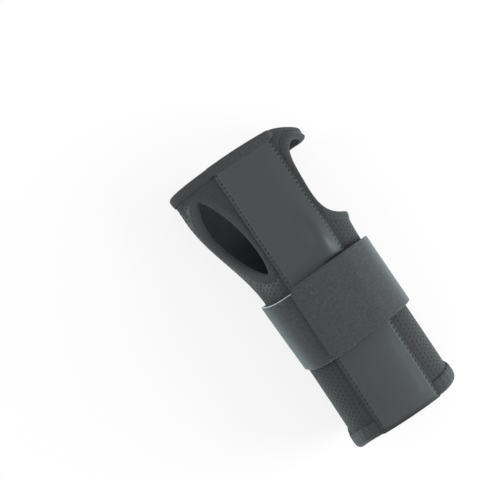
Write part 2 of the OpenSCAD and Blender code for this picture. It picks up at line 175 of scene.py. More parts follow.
# %% [markdown]
# ## Points round a section
# With its distance known, a place is found on the arc or the curve that it falls on, and with it
# the direction that points outwards there. A ring of points at even angles would be simpler, but
# they would not lie evenly on the cloth.

# %% Points round a section
def half_point(s, reach, a):
    """Point and outward direction in the section at s, a distance a from the palm line."""
    c = side_curve(s, reach)
    run = side_lengths(c)
    side = run[:, -1]
    b = np.clip(a - PALM_HALF, 0.0, side)
    k = np.clip((run[:, 1:] < b[:, None]).sum(1), 0, SIDE_STEPS - 1)
    row = np.arange(len(s))
    t = (k + (b - run[row, k]) / (run[row, k + 1] - run[row, k])) / SIDE_STEPS
    v = bezier_slope(c, t)
    v /= np.linalg.norm(v, axis=1)[:, None]
    point, normal = bezier(c, t), np.stack([-v[:, 1], v[:, 0]], 1)
    palm, back = a / PALM_RADIUS, (2 * PALM_HALF + side - a) / PALM_RADIUS
    depth = along(s, DEPTHS)
    for mask, turn, sign, base in ((a <= PALM_HALF, palm, 1, 0 * depth),
                                   (a > PALM_HALF + side, back, -1, -depth)):
        x, n = np.sin(turn), np.cos(turn)
        arc = np.stack([PALM_RADIUS * x, base + sign * PALM_RADIUS * (n - 1)], 1)
        point = np.where(mask[:, None], arc, point)
        normal = np.where(mask[:, None], np.stack([x, sign * n], 1), normal)
    return point, normal


arc_end, _ = half_point(np.array([WRIST_AT]), THUMB_REACH, np.array([PALM_HALF]))
print("end of the palm arc at the wrist in mm:", arc_end[0].round(1))

# %% [markdown]
# ## Places on the surface
# The sections stand along the palm arc like slices. Two dips draw the edges away from the finger
# end: one in the cuff on the little finger side, and one in the finger edge beside the thumb
# opening. Cutting the edges afterwards would spoil their tapes, so the dips bend the surface.

# %% Surface functions
PANEL_HALF = 20.75
CUFF_DIP, CUFF_DIP_MID, CUFF_DIP_LEN = 7.0, 57.0, 50.0
WEB_DIP, WEB_MID, WEB_DIP_LEN = 7.0, 48.75, 45.0


def dip(a, mid):
    return 1.0 - ease(np.abs(a - mid) / (mid - PANEL_HALF))


def drop(s, a, thumb):
    """How far the dips draw a place away from the finger end."""
    web = WEB_DIP * dip(a, WEB_MID) * ease(1.0 - (SPLINT_LEN - s) / WEB_DIP_LEN)
    cuff = CUFF_DIP * dip(a, CUFF_DIP_MID) * ease(1.0 - s / CUFF_DIP_LEN)
    return np.where(thumb, web, cuff)


def on(s, l, d):
    """Points in metres at s, l and d, which may be arrays."""
    shape = np.broadcast(s, l, d).shape
    s, l, d = (np.broadcast_to(np.asarray(x, float), shape).ravel() for x in (s, l, d))
    half = np.interp(s, TABLE_S, THUMB_HALF)
    full = girth(s)
    thumb = np.where(l >= 0, l <= half, l < half - full)
    a = np.where(l >= 0, np.where(thumb, l, full - l), np.where(thumb, full + l, -l))
    out = np.zeros((len(s), 3))
    for mask, reach, sign in ((thumb, THUMB_REACH, 1.0), (~thumb, LITTLE_REACH, -1.0)):
        if mask.any():
            point, normal = half_point(s[mask], reach, a[mask])
            p = point + d[mask, None] * normal
            turn = CUFF_TURN + (s[mask] - drop(s[mask], a[mask], sign > 0)) / ARC_RADIUS
            radius = ARC_RADIUS + p[:, 1]
            out[mask] = np.stack([sign * p[:, 0], radius * np.sin(turn), radius * np.cos(turn)], 1)
    return ((out + ARC_CENTRE) * MM).reshape(*shape, 3)


print("palm line from", on(0.0, 0.0, 0.0).round(4), "to", on(SPLINT_LEN, 0.0, 0.0).round(4))

# %% [markdown]
# ## Camera
# The splint is seen from above its panel, turned so that the cuff lies at the lower right. A
# camera could be placed by eye. Here it is given by the point it aims at, two tilts, a roll and
# a distance, in the plane that touches the palm line at its middle, because each of these can
# be set alone.

# %% Camera
AIM_X, AIM_Y, CAMERA_DISTANCE = -29.869, 48.685, 776.2
TILT_Y, TILT_X, ROLL = (math.radians(a) for a in (-4.802, 3.778, -33.441))
FOCAL_PIXELS, FRAME_PIXELS, SENSOR = 1249.5, 480.0, 36.0
MIDDLE_S, CLIP_END = 100.5, 20.0


def add_object(name, data):
    thing = bpy.data.objects.new(name, data)
    bpy.context.scene.collection.objects.link(thing)
    return thing


tilt = Matrix.Rotation(TILT_Y, 3, "Y") @ Matrix.Rotation(TILT_X, 3, "X")
plane_turn = Matrix.Rotation(-(CUFF_TURN + MIDDLE_S / ARC_RADIUS), 3, "X")
forward, level_up, level_right = (tilt @ Vector(v) for v in ((0, 0, -1), (0, 1, 0), (1, 0, 0)))
right = math.cos(ROLL) * level_right + math.sin(ROLL) * level_up
upward = -math.sin(ROLL) * level_right + math.cos(ROLL) * level_up
stand = Vector((AIM_X, AIM_Y, ARC_RADIUS)) - forward * CAMERA_DISTANCE
camera_place = Vector(ARC_CENTRE) + plane_turn @ stand
picture_right, picture_up, picture_back = (plane_turn @ v for v in (right, upward, -forward))
camera_turn = Matrix((picture_right, picture_up, picture_back)).transposed().to_4x4()
camera = add_object("camera", bpy.data.cameras.new("camera"))
camera.data.sensor_width = SENSOR
camera.data.lens = FOCAL_PIXELS / FRAME_PIXELS * SENSOR
camera.data.clip_end = CLIP_END
camera.matrix_world = Matrix.Translation(camera_place * MM) @ camera_turn
bpy.context.scene.camera = camera
bpy.context.scene.view_settings.view_transform = "Standard"
print("camera at", [round(x, 3) for x in camera.matrix_world.translation])

# %% [markdown]
# ## Writing node trees
# Light, finishes and repeating pieces are all node trees. Making a node and then linking it
# takes many lines, so one helper does both: an input is given either a plain value or what it is
# to be linked from.

# %% Node helpers
def socket_of(sockets, title):
    return next(s for s in sockets if title in (s.identifier, s.name))


def set_inputs(tree, node, inputs):
    """Gives inputs plain values, or links them from a socket, a Term or a node's first output."""
    for title, value in inputs.items():
        socket = socket_of(node.inputs, title)
        if isinstance(value, Term):
            value = value.socket
        if isinstance(value, bpy.types.Node):
            value = value.outputs[0]
        if isinstance(value, bpy.types.NodeSocket):
            tree.links.new(value, socket)
        else:
            socket.default_value = value


def add_node(tree, kind, inputs=None, **options):
    node = tree.nodes.new(kind)
    for title, value in options.items():
        setattr(node, title, value)
    set_inputs(tree, node, inputs or {})
    return node


print("node helpers for Blender", bpy.app.version_string)

# %% [markdown]
# ## Formulas in nodes
# Shader maths takes one Math node for each sign, and linking these by hand hides the formula. A
# Term stands for a value in a tree, and each sign between Terms makes one Math node, so a formula
# can be read as it would be written on paper.

# %% Terms
def maths(tree, operation, *values):
    inputs = dict(zip(("Value", "Value_001"), values))
    return Term(tree, add_node(tree, "ShaderNodeMath", inputs, operation=operation).outputs[0])


class Term:
    """A value in a node tree that can stand in a formula."""

    def __init__(self, tree, socket):
        self.tree = tree
        self.socket = socket

    def __add__(self, other):
        return maths(self.tree, "ADD", self, other)

    def __sub__(self, other):
        return maths(self.tree, "SUBTRACT", self, other)

    def __rsub__(self, other):
        return maths(self.tree, "SUBTRACT", other, self)

    def __mul__(self, other):
        return maths(self.tree, "MULTIPLY", self, other)

    def __truediv__(self, other):
        return maths(self.tree, "DIVIDE", self, other)

    def __pow__(self, power):
        return maths(self.tree, "POWER", self, power)

    def sine(self):
        return maths(self.tree, "SINE", self)

    def humps(self):
        """Round humps from 0 to 1, one for each whole step of the value."""
        return maths(self.tree, "ABSOLUTE", (self * math.pi).sine())

    def clamped(self):
        """The same value, kept between 0 and 1."""
        self.socket.node.use_clamp = True
        return self


print("besides its signs, a Term has", [title for title in dir(Term) if not title.startswith("_")])

# %% [markdown]
# ## Light
# A plain white studio shows dark cloth best. An even white world could do it alone, but then
# nothing would have a bright side. A large soft lamp stands to the right of the picture and a
# weaker one to the left. The world is full white to the rays that see it, and dimmer as a light.

# %% Light
WHITE = (1.0, 1.0, 1.0, 1.0)
WORLD_LIGHT = 0.64
PART_MIDDLE = Vector((0.0, 0.0, 0.04))
LAMP_ASIDE, LAMP_UP = 0.95, 0.1
KEY_HIGH, KEY_SIZE, KEY_POWER = 0.35, 0.6, 11.0
FILL_HIGH, FILL_SIZE, FILL_POWER = 0.4, 0.7, 4.2


def seen_ray(tree):
    """1 for the rays that see the background, straight, in a gloss or through glass."""
    rays = add_node(tree, "ShaderNodeLightPath").outputs
    straight_or_gloss = maths(tree, "MAXIMUM", rays["Is Camera Ray"], rays["Is Glossy Ray"])
    return maths(tree, "MAXIMUM", straight_or_gloss, rays["Is Transmission Ray"])


def end_shader(tree, output, mask, lit, seen):
    """Ends a tree in one shader for the rays that light and another for those that see."""
    either = add_node(tree, "ShaderNodeMixShader", {"Fac": mask, "Shader": lit, "Shader_001": seen})
    add_node(tree, output, {"Surface": either})


def soft_lamp(name, side, high, size, power):
    lamp = add_object(name, bpy.data.lights.new(name, "AREA"))
    lamp.data.size = size
    lamp.data.energy = power
    aside = side * (LAMP_ASIDE * picture_right + LAMP_UP * picture_up)
    lamp.location = PART_MIDDLE + aside + Vector((0.0, 0.0, high))
    lamp.rotation_euler = (PART_MIDDLE - lamp.location).to_track_quat("-Z", "Y").to_euler()


world = bpy.data.worlds.new("white studio")
bpy.context.scene.world = world
world.use_nodes = True
tree = world.node_tree
tree.nodes.clear()
lit = add_node(tree, "ShaderNodeBackground", {"Color": WHITE, "Strength": WORLD_LIGHT})
seen = add_node(tree, "ShaderNodeBackground", {"Color": WHITE})
end_shader(tree, "ShaderNodeOutputWorld", seen_ray(tree), lit, seen)
soft_lamp("key_lamp", 1.0, KEY_HIGH, KEY_SIZE, KEY_POWER)
soft_lamp("fill_lamp", -1.0, FILL_HIGH, FILL_SIZE, FILL_POWER)
print("lamps in W:", KEY_POWER, "and", FILL_POWER)

# %% [markdown]
# ## Floor
# The floor takes the shadow that shows what the splint lies on. A plain white sheet would show
# its own shading and its far edge, so it glows white for the rays that see it, and a little less
# close to the splint, where the shadow has to stay.

# %% Floor
FLOOR_SIZE, FLOOR_SINK = 4.0, 0.1 * MM
FLOOR_COLOUR = (0.93, 0.93, 0.93, 1.0)
FADE_FROM, FADE_TO, GLOW_NEAR, GLOW_FAR = 0.25, 0.7, 0.8, 1.0

floor_mesh = bpy.data.meshes.new("floor")
out = FLOOR_SIZE / 2
floor_mesh.from_pydata([(-out, -out, 0), (out, -out, 0), (out, out, 0), (-out, out, 0)], [], [(0, 1, 2, 3)])
floor = add_object("floor", floor_mesh)
floor.location.z = -FLOOR_SINK
white_floor = bpy.data.materials.new("white floor")
white_floor.use_nodes = True
tree = white_floor.node_tree
tree.nodes.clear()
floor_spot = add_node(tree, "ShaderNodeTexCoord").outputs["Object"]
far = add_node(tree, "ShaderNodeVectorMath", {"Vector": floor_spot}, operation="LENGTH").outputs["Value"]
glow_share = add_node(tree, "ShaderNodeMapRange", {
    "Value": far, "From Min": FADE_FROM, "From Max": FADE_TO, "To Min": GLOW_NEAR, "To Max": GLOW_FAR})
paper = add_node(tree, "ShaderNodeBsdfDiffuse", {"Color": FLOOR_COLOUR})
glow = add_node(tree, "ShaderNodeEmission", {"Color": WHITE})
end_shader(tree, "ShaderNodeOutputMaterial", seen_ray(tree) * glow_share, paper, glow)
floor_mesh.materials.append(white_floor)
print("floor in m:", FLOOR_SIZE, "by", FLOOR_SIZE)

# %% [markdown]
# ## Effects that several finishes share
# Almost every finish here is dark, so what tells them apart is grain, ribs and lint. Painted
# pictures would not fit the bent pieces, so each effect is one node group with named inputs, and
# each finish uses it with its own sizes. The fabric pieces carry an attribute named cloth, with two
# distances along the fabric and the distance to an edge, in millimetres. The groups read it, so a
# pattern bends with the fabric. Rows of knit loops come first.

# %% Knit rows
NOISE_MIDDLE, WANDER_SCALE = 0.5, 0.9
RIB_FLATNESS, LOOP_SHARE, HEIGHT_SHADE, WANDER_SHADE = 0.6, 0.5, 0.7, 0.6


def effect_group(name, outputs, **sizes):
    """A group with the input Cloth, an input for each size, and values as its outputs."""
    tree = bpy.data.node_groups.new(name, "ShaderNodeTree")
    tree.interface.new_socket(name="Cloth", in_out="INPUT", socket_type="NodeSocketVector")
    for title, value in sizes.items():
        socket = tree.interface.new_socket(
            name=title.replace("_", " "), in_out="INPUT", socket_type="NodeSocketFloat")
        socket.default_value = value
    for title in outputs:
        tree.interface.new_socket(name=title, in_out="OUTPUT", socket_type="NodeSocketFloat")
    return tree, add_node(tree, "NodeGroupInput").outputs


def noise(tree, place, scale, detail=2.0, rough=0.5):
    inputs = {"Vector": place, "Scale": scale, "Detail": detail, "Roughness": rough}
    return Term(tree, add_node(tree, "ShaderNodeTexNoise", inputs).outputs["Fac"])


def split(tree, place):
    """The three values of a place as terms."""
    return (Term(tree, s) for s in add_node(tree, "ShaderNodeSeparateXYZ", {"Vector": place}).outputs)


# Ribs over the second distance, broken into loops along the first, with a little unevenness
tree, given = effect_group("knit rows", ("Height", "Shade"), Rib=0.8, Loop=0.6, Unevenness=0.3)
lengthways, across, _ = split(tree, given["Cloth"])
wander = (noise(tree, given["Cloth"], WANDER_SCALE) - NOISE_MIDDLE) * given["Unevenness"]
rib = (across / given["Rib"] + wander).humps()
loop = (lengthways / given["Loop"] + wander + rib).humps()
height = rib ** RIB_FLATNESS * (loop * LOOP_SHARE + (1.0 - LOOP_SHARE))
# The colour is darker in the grooves between ribs and loops, as painted shade, and uneven at random
shade = (height * HEIGHT_SHADE + wander * WANDER_SHADE).clamped()
add_node(tree, "NodeGroupOutput", {"Height": height, "Shade": shade})
print("nodes of the knit rows:", len(tree.nodes))

# %% [markdown]
# ## Lint and rims
# Worn cloth is never even: it has slow patches, specks of lint and uneven rims. These could be
# painted on each piece. Here noise at two sizes gives the first two, and the distance to the edge,
# made uneven by noise, gives the third, which also carries painted shade at the mouth of the pocket.

# %% Lint and rims
LINT_FROM, LINT_SHARP = 0.62, 6.0
FRAY_SCALE, FRAY_LEAST, FRAY_MORE, RIM_SHARP = 0.7, 0.6, 0.8, 2.0

# Slow patches of lighter and darker cloth, and small specks of lint
tree, given = effect_group("lint and patches", ("Patch", "Lint"), Patch_scale=0.03, Lint_scale=0.9)
patch = noise(tree, given["Cloth"], given["Patch scale"], detail=3.0, rough=0.6)
speck = noise(tree, given["Cloth"], given["Lint scale"], detail=4.0, rough=0.75)
lint = ((speck - LINT_FROM) * LINT_SHARP).clamped()
add_node(tree, "NodeGroupOutput", {"Patch": patch, "Lint": lint})

# The rim of a piece, from its distance to the edge: the paler strap edges and the painted shade at the
# pocket's mouth
tree, given = effect_group("rim", ("Mask",), Width=0.8)
_, _, from_edge = split(tree, given["Cloth"])
fray = noise(tree, given["Cloth"], FRAY_SCALE, detail=3.0) * FRAY_MORE + FRAY_LEAST
rim_mask = ((1.0 - from_edge / (fray * given["Width"])) * RIM_SHARP).clamped()
add_node(tree, "NodeGroupOutput", {"Mask": rim_mask})
print("node groups:", [g.name for g in bpy.data.node_groups])

# %% [markdown]
# ## Creases and grain
# A taped opening pulls at the cloth beside it, so creases run along it. The cloth between them is
# lighter, partly as stretched cloth and partly as painted light on the crests, with painted shade
# in the creases; the hem takes the same lighter colour for painted light. The panel and the
# strap have a fine pebbled skin. Both are too fine for modelled shape, so they are heights for a
# bump and a mask for the colour.

# %% Creases and grain
# Share of the pull that is lost over one millimetre
PULL_LOSS = 0.09
CREASE_SCALE, CREASE_WANDER, UNEVEN_SCALE = 0.12, 5.0, 0.25
STRETCH_LEVEL, CREASE_SHADING = 0.9, 0.4
PEBBLE_SHARE, DUST_SCALE, DUST_SHARE = 0.7, 5.0, 0.5

tree, given = effect_group("pull creases", ("Height", "Stretch"), Pull=0.0, Spacing=2.6)
pull = Term(tree, given["Pull"])
way = (1.0 - pull) / PULL_LOSS + noise(tree, given["Cloth"], CREASE_SCALE) * CREASE_WANDER
fold = (way * (2 * math.pi) / given["Spacing"]).sine()
uneven = pull * noise(tree, given["Cloth"], UNEVEN_SCALE, detail=3.0)
# Lighter where the cloth is stretched, with painted light on the crests and painted shade in the creases
stretch_and_light = ((fold * CREASE_SHADING + STRETCH_LEVEL) * uneven).clamped()
add_node(tree, "NodeGroupOutput", {"Height": fold * uneven, "Stretch": stretch_and_light})

tree, given = effect_group("pebble grain", ("Height",), Scale=2.2)
pebbles = add_node(tree, "ShaderNodeTexVoronoi", {"Vector": given["Cloth"], "Scale": given["Scale"]},
                   feature="SMOOTH_F1")
dust = noise(tree, given["Cloth"], DUST_SCALE, detail=3.0)
grain = Term(tree, pebbles.outputs["Distance"]) * PEBBLE_SHARE + dust * DUST_SHARE
add_node(tree, "NodeGroupOutput", {"Height": grain})
print("node groups:", [g.name for g in bpy.data.node_groups])

# %% [markdown]
# ## Finishes
# A finish starts from a Principled shader with its plain numbers on the shader's own sockets.
# Patches, lint, knit and rims then change the colour, the roughness and the bump over the
# surface. Rigid pieces, thread and hooks have no cloth attribute, so their finishes read Object
# coordinates, scaled to millimetres. One small class keeps all this short.

# %% Finish helpers
SHEEN_ROUGHNESS = 0.4
SHEEN_TINT = (0.76, 0.98, 1.0, 1.0)


def grey(level, red=0.94, blue=1.05):
    """A dark grey, a little to the cool side."""
    return (level * red, level, level * blue)


class Finish:
    """A Principled material with a place in millimetres and helpers for its inputs."""

    def __init__(self, name, roughness, sheen=0.0, specular=0.5, metallic=0.0, cloth=True):
        self.material = bpy.data.materials.new(name)
        self.material.use_nodes = True
        self.tree = self.material.node_tree
        self.add = partial(add_node, self.tree)
        self.set(**{"Roughness": roughness, "Sheen Weight": sheen, "Sheen Roughness": SHEEN_ROUGHNESS,
                    "Sheen Tint": SHEEN_TINT, "Specular IOR Level": specular, "Metallic": metallic})
        if cloth:
            self.place = self.add("ShaderNodeAttribute", attribute_name="cloth").outputs["Vector"]
        else:
            spot = self.add("ShaderNodeTexCoord").outputs["Object"]
            self.place = self.add("ShaderNodeMapping", {"Vector": spot, "Scale": [1.0 / MM] * 3})

    def set(self, **inputs):
        set_inputs(self.tree, self.tree.nodes["Principled BSDF"], inputs)

    def effect(self, name, **sizes):
        inputs = {title.replace("_", " "): value for title, value in sizes.items()}
        node = self.add("ShaderNodeGroup", {"Cloth": self.place, **inputs},
                        node_tree=bpy.data.node_groups[name])
        return {o.name: Term(self.tree, o) for o in node.outputs}

    def attribute(self, name):
        return Term(self.tree, self.add("ShaderNodeAttribute", attribute_name=name).outputs["Fac"])

    def colours(self, mask, low, high):
        """A colour between low and high by mask; either may be another such colour."""
        low, high = ((*c, 1.0) if isinstance(c, tuple) else c for c in (low, high))
        node = self.add("ShaderNodeMix", {"Factor_Float": mask, "A_Color": low, "B_Color": high},
                        data_type="RGBA")
        return socket_of(node.outputs, "Result_Color")

    def paint(self, mask, low, high):
        self.set(**{"Base Color": self.colours(mask, low, high)})

    def rough(self, mask, low, high):
        self.set(Roughness=mask * (high - low) + low)

    def bump(self, height, depth=1.0):
        self.set(Normal=self.add("ShaderNodeBump", {"Height": height, "Distance": depth * MM}))


print("a middle grey of the tape:", [round(c, 4) for c in grey(0.055)])

# %% [markdown]
# ## Knitted finishes
# Mesh, tapes, hem and lining are all knits that differ in the size of their ribs and loops.
# One function makes the four, with ribs and loops in the bump, uneven patches and lint in the
# colour, and a soft fuzz that shows where an edge turns away. The holes of the mesh show the
# plainer cloth under it.

# %% Knitted finishes
KNIT_SHARE, PATCH_SHARE, KNIT_PATCHES = 0.65, 0.35, 0.25
LINT_LIGHTER, STRETCH_AND_LIGHT_LIGHTER, CREASE_DEEP = 1.35, 2.0, 0.3


def knit_finish(name, dark, light, fuzz, rib, loop, uneven, depth, lint=0.7):
    finish = Finish(name, roughness=0.88, sheen=fuzz, specular=0.2)
    knit = finish.effect("knit rows", Rib=rib, Loop=loop, Unevenness=uneven)
    soil = finish.effect("lint and patches", Patch_scale=KNIT_PATCHES, Lint_scale=lint)
    crease = finish.effect("pull creases", Pull=finish.attribute("pull"))
    # The knit's painted shade in its grooves, mixed with random patches
    shade = knit["Shade"] * KNIT_SHARE + soil["Patch"] * PATCH_SHARE
    ground = finish.colours(shade, grey(dark), grey(light))
    ground = finish.colours(soil["Lint"], ground, grey(LINT_LIGHTER * light))
    # Lighter for stretched cloth and for painted light, as on the hem's little finger side
    finish.paint(crease["Stretch"], ground, grey(STRETCH_AND_LIGHT_LIGHTER * light))
    finish.rough(knit["Height"], 0.95, 0.8)
    finish.bump(knit["Height"] * depth + crease["Height"] * CREASE_DEEP)
    return finish


mesh_finish = knit_finish(
    "holed mesh", dark=0.040, light=0.078, fuzz=0.24, rib=0.6, loop=0.5, uneven=0.5, depth=0.1)
tape_finish = knit_finish(
    "knit tape", dark=0.043, light=0.066, fuzz=0.2, rib=0.8, loop=0.6, uneven=0.6, depth=0.08)
hem_finish = knit_finish(
    "folded hem", dark=0.038, light=0.07, fuzz=0.3, rib=0.7, loop=1.1, uneven=0.7, depth=0.16, lint=0.5)
lining_finish = knit_finish(
    "brushed lining", dark=0.035, light=0.06, fuzz=0.2, rib=1.2, loop=1.0, uneven=1.2, depth=0.15, lint=0.5)

pore_finish = Finish("mesh hole", roughness=0.95, specular=0.1)
soil = pore_finish.effect("lint and patches")
pore_finish.paint(soil["Patch"], grey(0.05), grey(0.07))
print("finishes:", [m.name for m in bpy.data.materials])

# %% [markdown]
# ## Strap finish
# The strap is brushed loop webbing: a matt pile that takes up lint, with paler edges.
# Real loops would need millions of faces, so the pile is a bump with a strong sheen, which makes
# it pale where it turns away. The cut edges of the tail have a plainer finish without sheen, painted
# darker as shade along them.

# %% Strap finish
PILE_DEEP, WEAVE_DEEP = 0.22, 0.08

strap_finish = Finish("brushed strap", roughness=0.9, sheen=0.72, specular=0.2)
soil = strap_finish.effect("lint and patches", Patch_scale=0.6, Lint_scale=0.55)
pile = strap_finish.effect("pebble grain", Scale=1.5)
weave = strap_finish.effect("knit rows", Rib=1.0, Loop=1.0, Unevenness=1.2)
pale_rim = strap_finish.effect("rim", Width=0.55)
ground = strap_finish.colours(soil["Patch"], grey(0.024, 0.96), grey(0.086, 0.96))
ground = strap_finish.colours(soil["Lint"], ground, grey(0.13))
# The free edges of the fixed part are painted a much paler grey
strap_finish.paint(pale_rim["Mask"], ground, grey(0.62))
strap_finish.rough(soil["Patch"], 0.82, 0.95)
strap_finish.bump(pile["Height"] * PILE_DEEP + weave["Height"] * WEAVE_DEEP)

cut_and_shade_finish = Finish("strap edge", roughness=0.95, specular=0.1)
soil = cut_and_shade_finish.effect("lint and patches", Patch_scale=0.8)
# The cut edges are plain without sheen, and dark as painted shade along the tail's edges
cut_and_shade_finish.paint(soil["Patch"], grey(0.03), grey(0.05))
print("nodes of the strap finish:", len(strap_finish.tree.nodes))

# %% [markdown]
# ## Panel finish
# The panel is a smooth coated fabric with a faint satin gloss. Its colour gets painted shade in
# the needle holes and on the strip outside the seam, which are duller there too, and at the mouth
# of the pocket. An attribute that comes with the piece says where the first two are.

# %% Panel finish
SATIN_ROUGH, PATCH_ROUGHER, SHADED_ROUGHER = 0.43, 0.1, 0.5
GLOSS_TINT = (0.84, 0.97, 1.0, 1.0)

panel_finish = Finish("smooth panel", roughness=0.5, sheen=0.05, specular=0.47)
panel_finish.set(**{"Specular Tint": GLOSS_TINT})
grain = panel_finish.effect("pebble grain", Scale=2.4)
soil = panel_finish.effect("lint and patches", Patch_scale=0.025, Lint_scale=0.4)
mouth = panel_finish.effect("rim", Width=3.2)
painted_shade_mask = panel_finish.attribute("pressed")
ground = panel_finish.colours(soil["Patch"], grey(0.036, 0.93, 1.02), grey(0.045, 0.93, 1.02))
ground = panel_finish.colours(soil["Lint"], ground, grey(0.066, 0.87, 1.0))
# Painted shade: the needle holes and the strip outside the seam are darkened in colour
ground = panel_finish.colours(painted_shade_mask, ground, grey(0.006))
# Painted shade: a near-black band along the cuff end of the panel, at the mouth of the pocket
panel_finish.paint(mouth["Mask"], ground, grey(0.012))
rougher = soil["Patch"] * PATCH_ROUGHER + painted_shade_mask * SHADED_ROUGHER
panel_finish.rough(rougher, SATIN_ROUGH, SATIN_ROUGH + 1.0)
panel_finish.bump(grain["Height"], depth=0.03)
print("nodes of the panel finish:", len(panel_finish.tree.nodes))

# %% [markdown]
# ## Thread, hooks and stay
# Thread is dark on most seams and paler on a few, which an attribute named tone sets for each
# stitch. The hooks are plain black plastic, the caps of the stay are soft dipped vinyl, and the
# stay is aluminium, brushed along its length by a noise that is drawn out that way.

# %% Thread and rigid finishes
thread_finish = Finish("sewing thread", roughness=0.8, sheen=0.1, specular=0.2, cloth=False)
soil = thread_finish.effect("lint and patches", Patch_scale=1.5)
dark_thread = thread_finish.colours(soil["Patch"], grey(0.016), grey(0.026))
thread_finish.paint(thread_finish.attribute("tone"), dark_thread, grey(0.11))

hook_finish = Finish("hook tape", roughness=0.55, specular=0.4, cloth=False)
soil = hook_finish.effect("lint and patches", Patch_scale=0.2)
hook_finish.paint(soil["Lint"], grey(0.03), grey(0.09))
hook_finish.rough(soil["Patch"], 0.45, 0.65)

vinyl_finish = Finish("dipped vinyl", roughness=0.35, cloth=False)
soil = vinyl_finish.effect("lint and patches", Patch_scale=0.15)
vinyl_finish.paint(soil["Patch"], grey(0.03), grey(0.055))
vinyl_finish.rough(soil["Patch"], 0.28, 0.45)
vinyl_finish.bump(vinyl_finish.effect("pebble grain", Scale=0.5)["Height"], depth=0.05)

metal_finish = Finish("brushed aluminium", roughness=0.35, metallic=1.0, cloth=False)
soil = metal_finish.effect("lint and patches", Patch_scale=0.06)
drawn_out = metal_finish.add("ShaderNodeMapping", {"Vector": metal_finish.place, "Scale": (4.0, 0.06, 4.0)})
brushing = noise(metal_finish.tree, drawn_out, 1.0, detail=6.0, rough=0.7)
metal_finish.paint(brushing, (0.36, 0.37, 0.385), (0.62, 0.63, 0.65))
metal_finish.rough(soil["Patch"], 0.25, 0.45)
metal_finish.bump(brushing, depth=0.02)
print("finishes:", len(bpy.data.materials))

# %% [markdown]
# ## From points to a piece
# Every soft piece ends the same way: its points are merged, its faces are turned outwards and
# shaded smooth, it gets its finish and, when one is given, the body it rides on, and the CAD solid
# it takes the place of is hidden. It could be done by hand in Edit Mode, but functions treat all
# pieces alike.

# %% Piece helpers
MERGE, SLIVER, SHARP_ANGLE = 1e-6, 1e-7, math.radians(75.0)


def set_attribute(mesh, name, values):
    """Stores a number or a vector for each point."""
    kind, field = ("FLOAT_VECTOR", "vector") if np.ndim(values) == 2 else ("FLOAT", "value")
    data = mesh.attributes.new(name, kind, "POINT").data
    data.foreach_set(field, np.asarray(values, np.float32).ravel())


def smooth_faces(mesh):
    mesh.polygons.foreach_set("use_smooth", [True] * len(mesh.polygons))


def open_edges(work):
    return sum(1 for e in work.edges if len(e.link_faces) != 2)


def add_piece(name, mesh, body, node=None):
    """An object for a mesh; it rides on the body, if one is given."""
    piece = add_object(name, mesh)
    if body:
        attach(piece, body)
    if node:
        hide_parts(node)
    print(name, len(mesh.polygons), "faces")
    return piece


def add_skin(name, points, faces, attributes, finish, body, node):
    """A piece of merged faces that point outwards."""
    mesh = bpy.data.meshes.new(name)
    mesh.from_pydata(points.tolist(), [], faces)
    for title, values in attributes.items():
        set_attribute(mesh, title, values)
    work = bmesh.new()
    work.from_mesh(mesh)
    bmesh.ops.remove_doubles(work, verts=work.verts, dist=MERGE)
    bmesh.ops.dissolve_degenerate(work, edges=work.edges, dist=SLIVER)
    bmesh.ops.recalc_face_normals(work, faces=work.faces)
    print("open edges:", open_edges(work))
    work.to_mesh(mesh)
    work.free()
    smooth_faces(mesh)
    mesh.set_sharp_from_angle(angle=SHARP_ANGLE)
    mesh.materials.append(finish.material)
    return add_piece(name, mesh, body, node)


print("CAD nodes to dress:", len(frame["nodes"]))

# %% [markdown]
# ## Making sheets
# A strap, a cover and a lining are all thin sheets with a soft rim. A plane with Solidify would
# have a square rim, so a grid of points is laid twice, once for each face, and both faces come
# together along a rounded lip. Extra columns close to the rim carry that lip. Where a sheet is
# cut off square, because it goes on in another piece, a wall closes it instead.

# %% Sheet helpers
LIP_STEPS = np.array([0.0, 0.06, 0.22, 0.5, 1.0])


def lip(e, radius):
    """Share of the full thickness at a distance e from the rim."""
    return np.sqrt(1.0 - (1.0 - np.clip(e / radius, 0.0, 1.0)) ** 2)


def columns(a, b, step, radius, soft_end=True):
    """Places from a to b, closer together near a soft rim; the end may be square."""
    near = radius * LIP_STEPS
    end = near if soft_end else np.zeros(1)
    between = np.linspace(a + near[-1], b - end[-1], max(2, math.ceil((b - a) / step)))
    return np.concatenate([a + near[:-1], between, b - end[::-1][1:]])


def grid(rows, cols):
    return np.meshgrid(rows, cols, indexing="ij")


def quads(index):
    return np.stack([index[:-1, :-1], index[1:, :-1], index[1:, 1:], index[:-1, 1:]], -1).reshape(-1, 4)


def cloth_map(s, l, e):
    return np.stack(np.broadcast_arrays(s, l, e), -1).reshape(-1, 3)


def sheet(name, s, l, top, bottom, edge, finish, body, node, square_end=False, pressed=None):
    """A closed sheet between two heights that meet at the rim; the last row may be cut off square."""
    rows, cols = s.shape
    upper = np.arange(rows * cols).reshape(rows, cols)
    under = upper + rows * cols
    faces = quads(upper).tolist() + quads(under)[:, ::-1].tolist()
    if square_end:
        faces += np.stack([upper[-1, :-1], under[-1, :-1], under[-1, 1:], upper[-1, 1:]], -1).tolist()
    points = np.concatenate([on(s, l, d).reshape(-1, 3) for d in (top, bottom)])
    attributes = {"cloth": np.concatenate([cloth_map(s, l, edge)] * 2)}
    # The outer face may carry a mask of painted shade; the inner face has none
    if pressed is not None:
        attributes["pressed"] = np.concatenate([pressed.ravel(), np.zeros(pressed.size)])
    return add_skin(name, points, faces, attributes, finish, body, node)


print("columns of a 10 mm sheet:", columns(0.0, 10.0, 2.5, 0.5).round(2))

# %% [markdown]
# ## Forms of the cover
# The panel's smooth outer layer is dimpled at every needle hole and rises a little over the stay,
# and the tight strap pushes up a soft fold beside it. A bump could fake the dimples but not the
# fold, so all three are heights that the next step adds to a sheet.

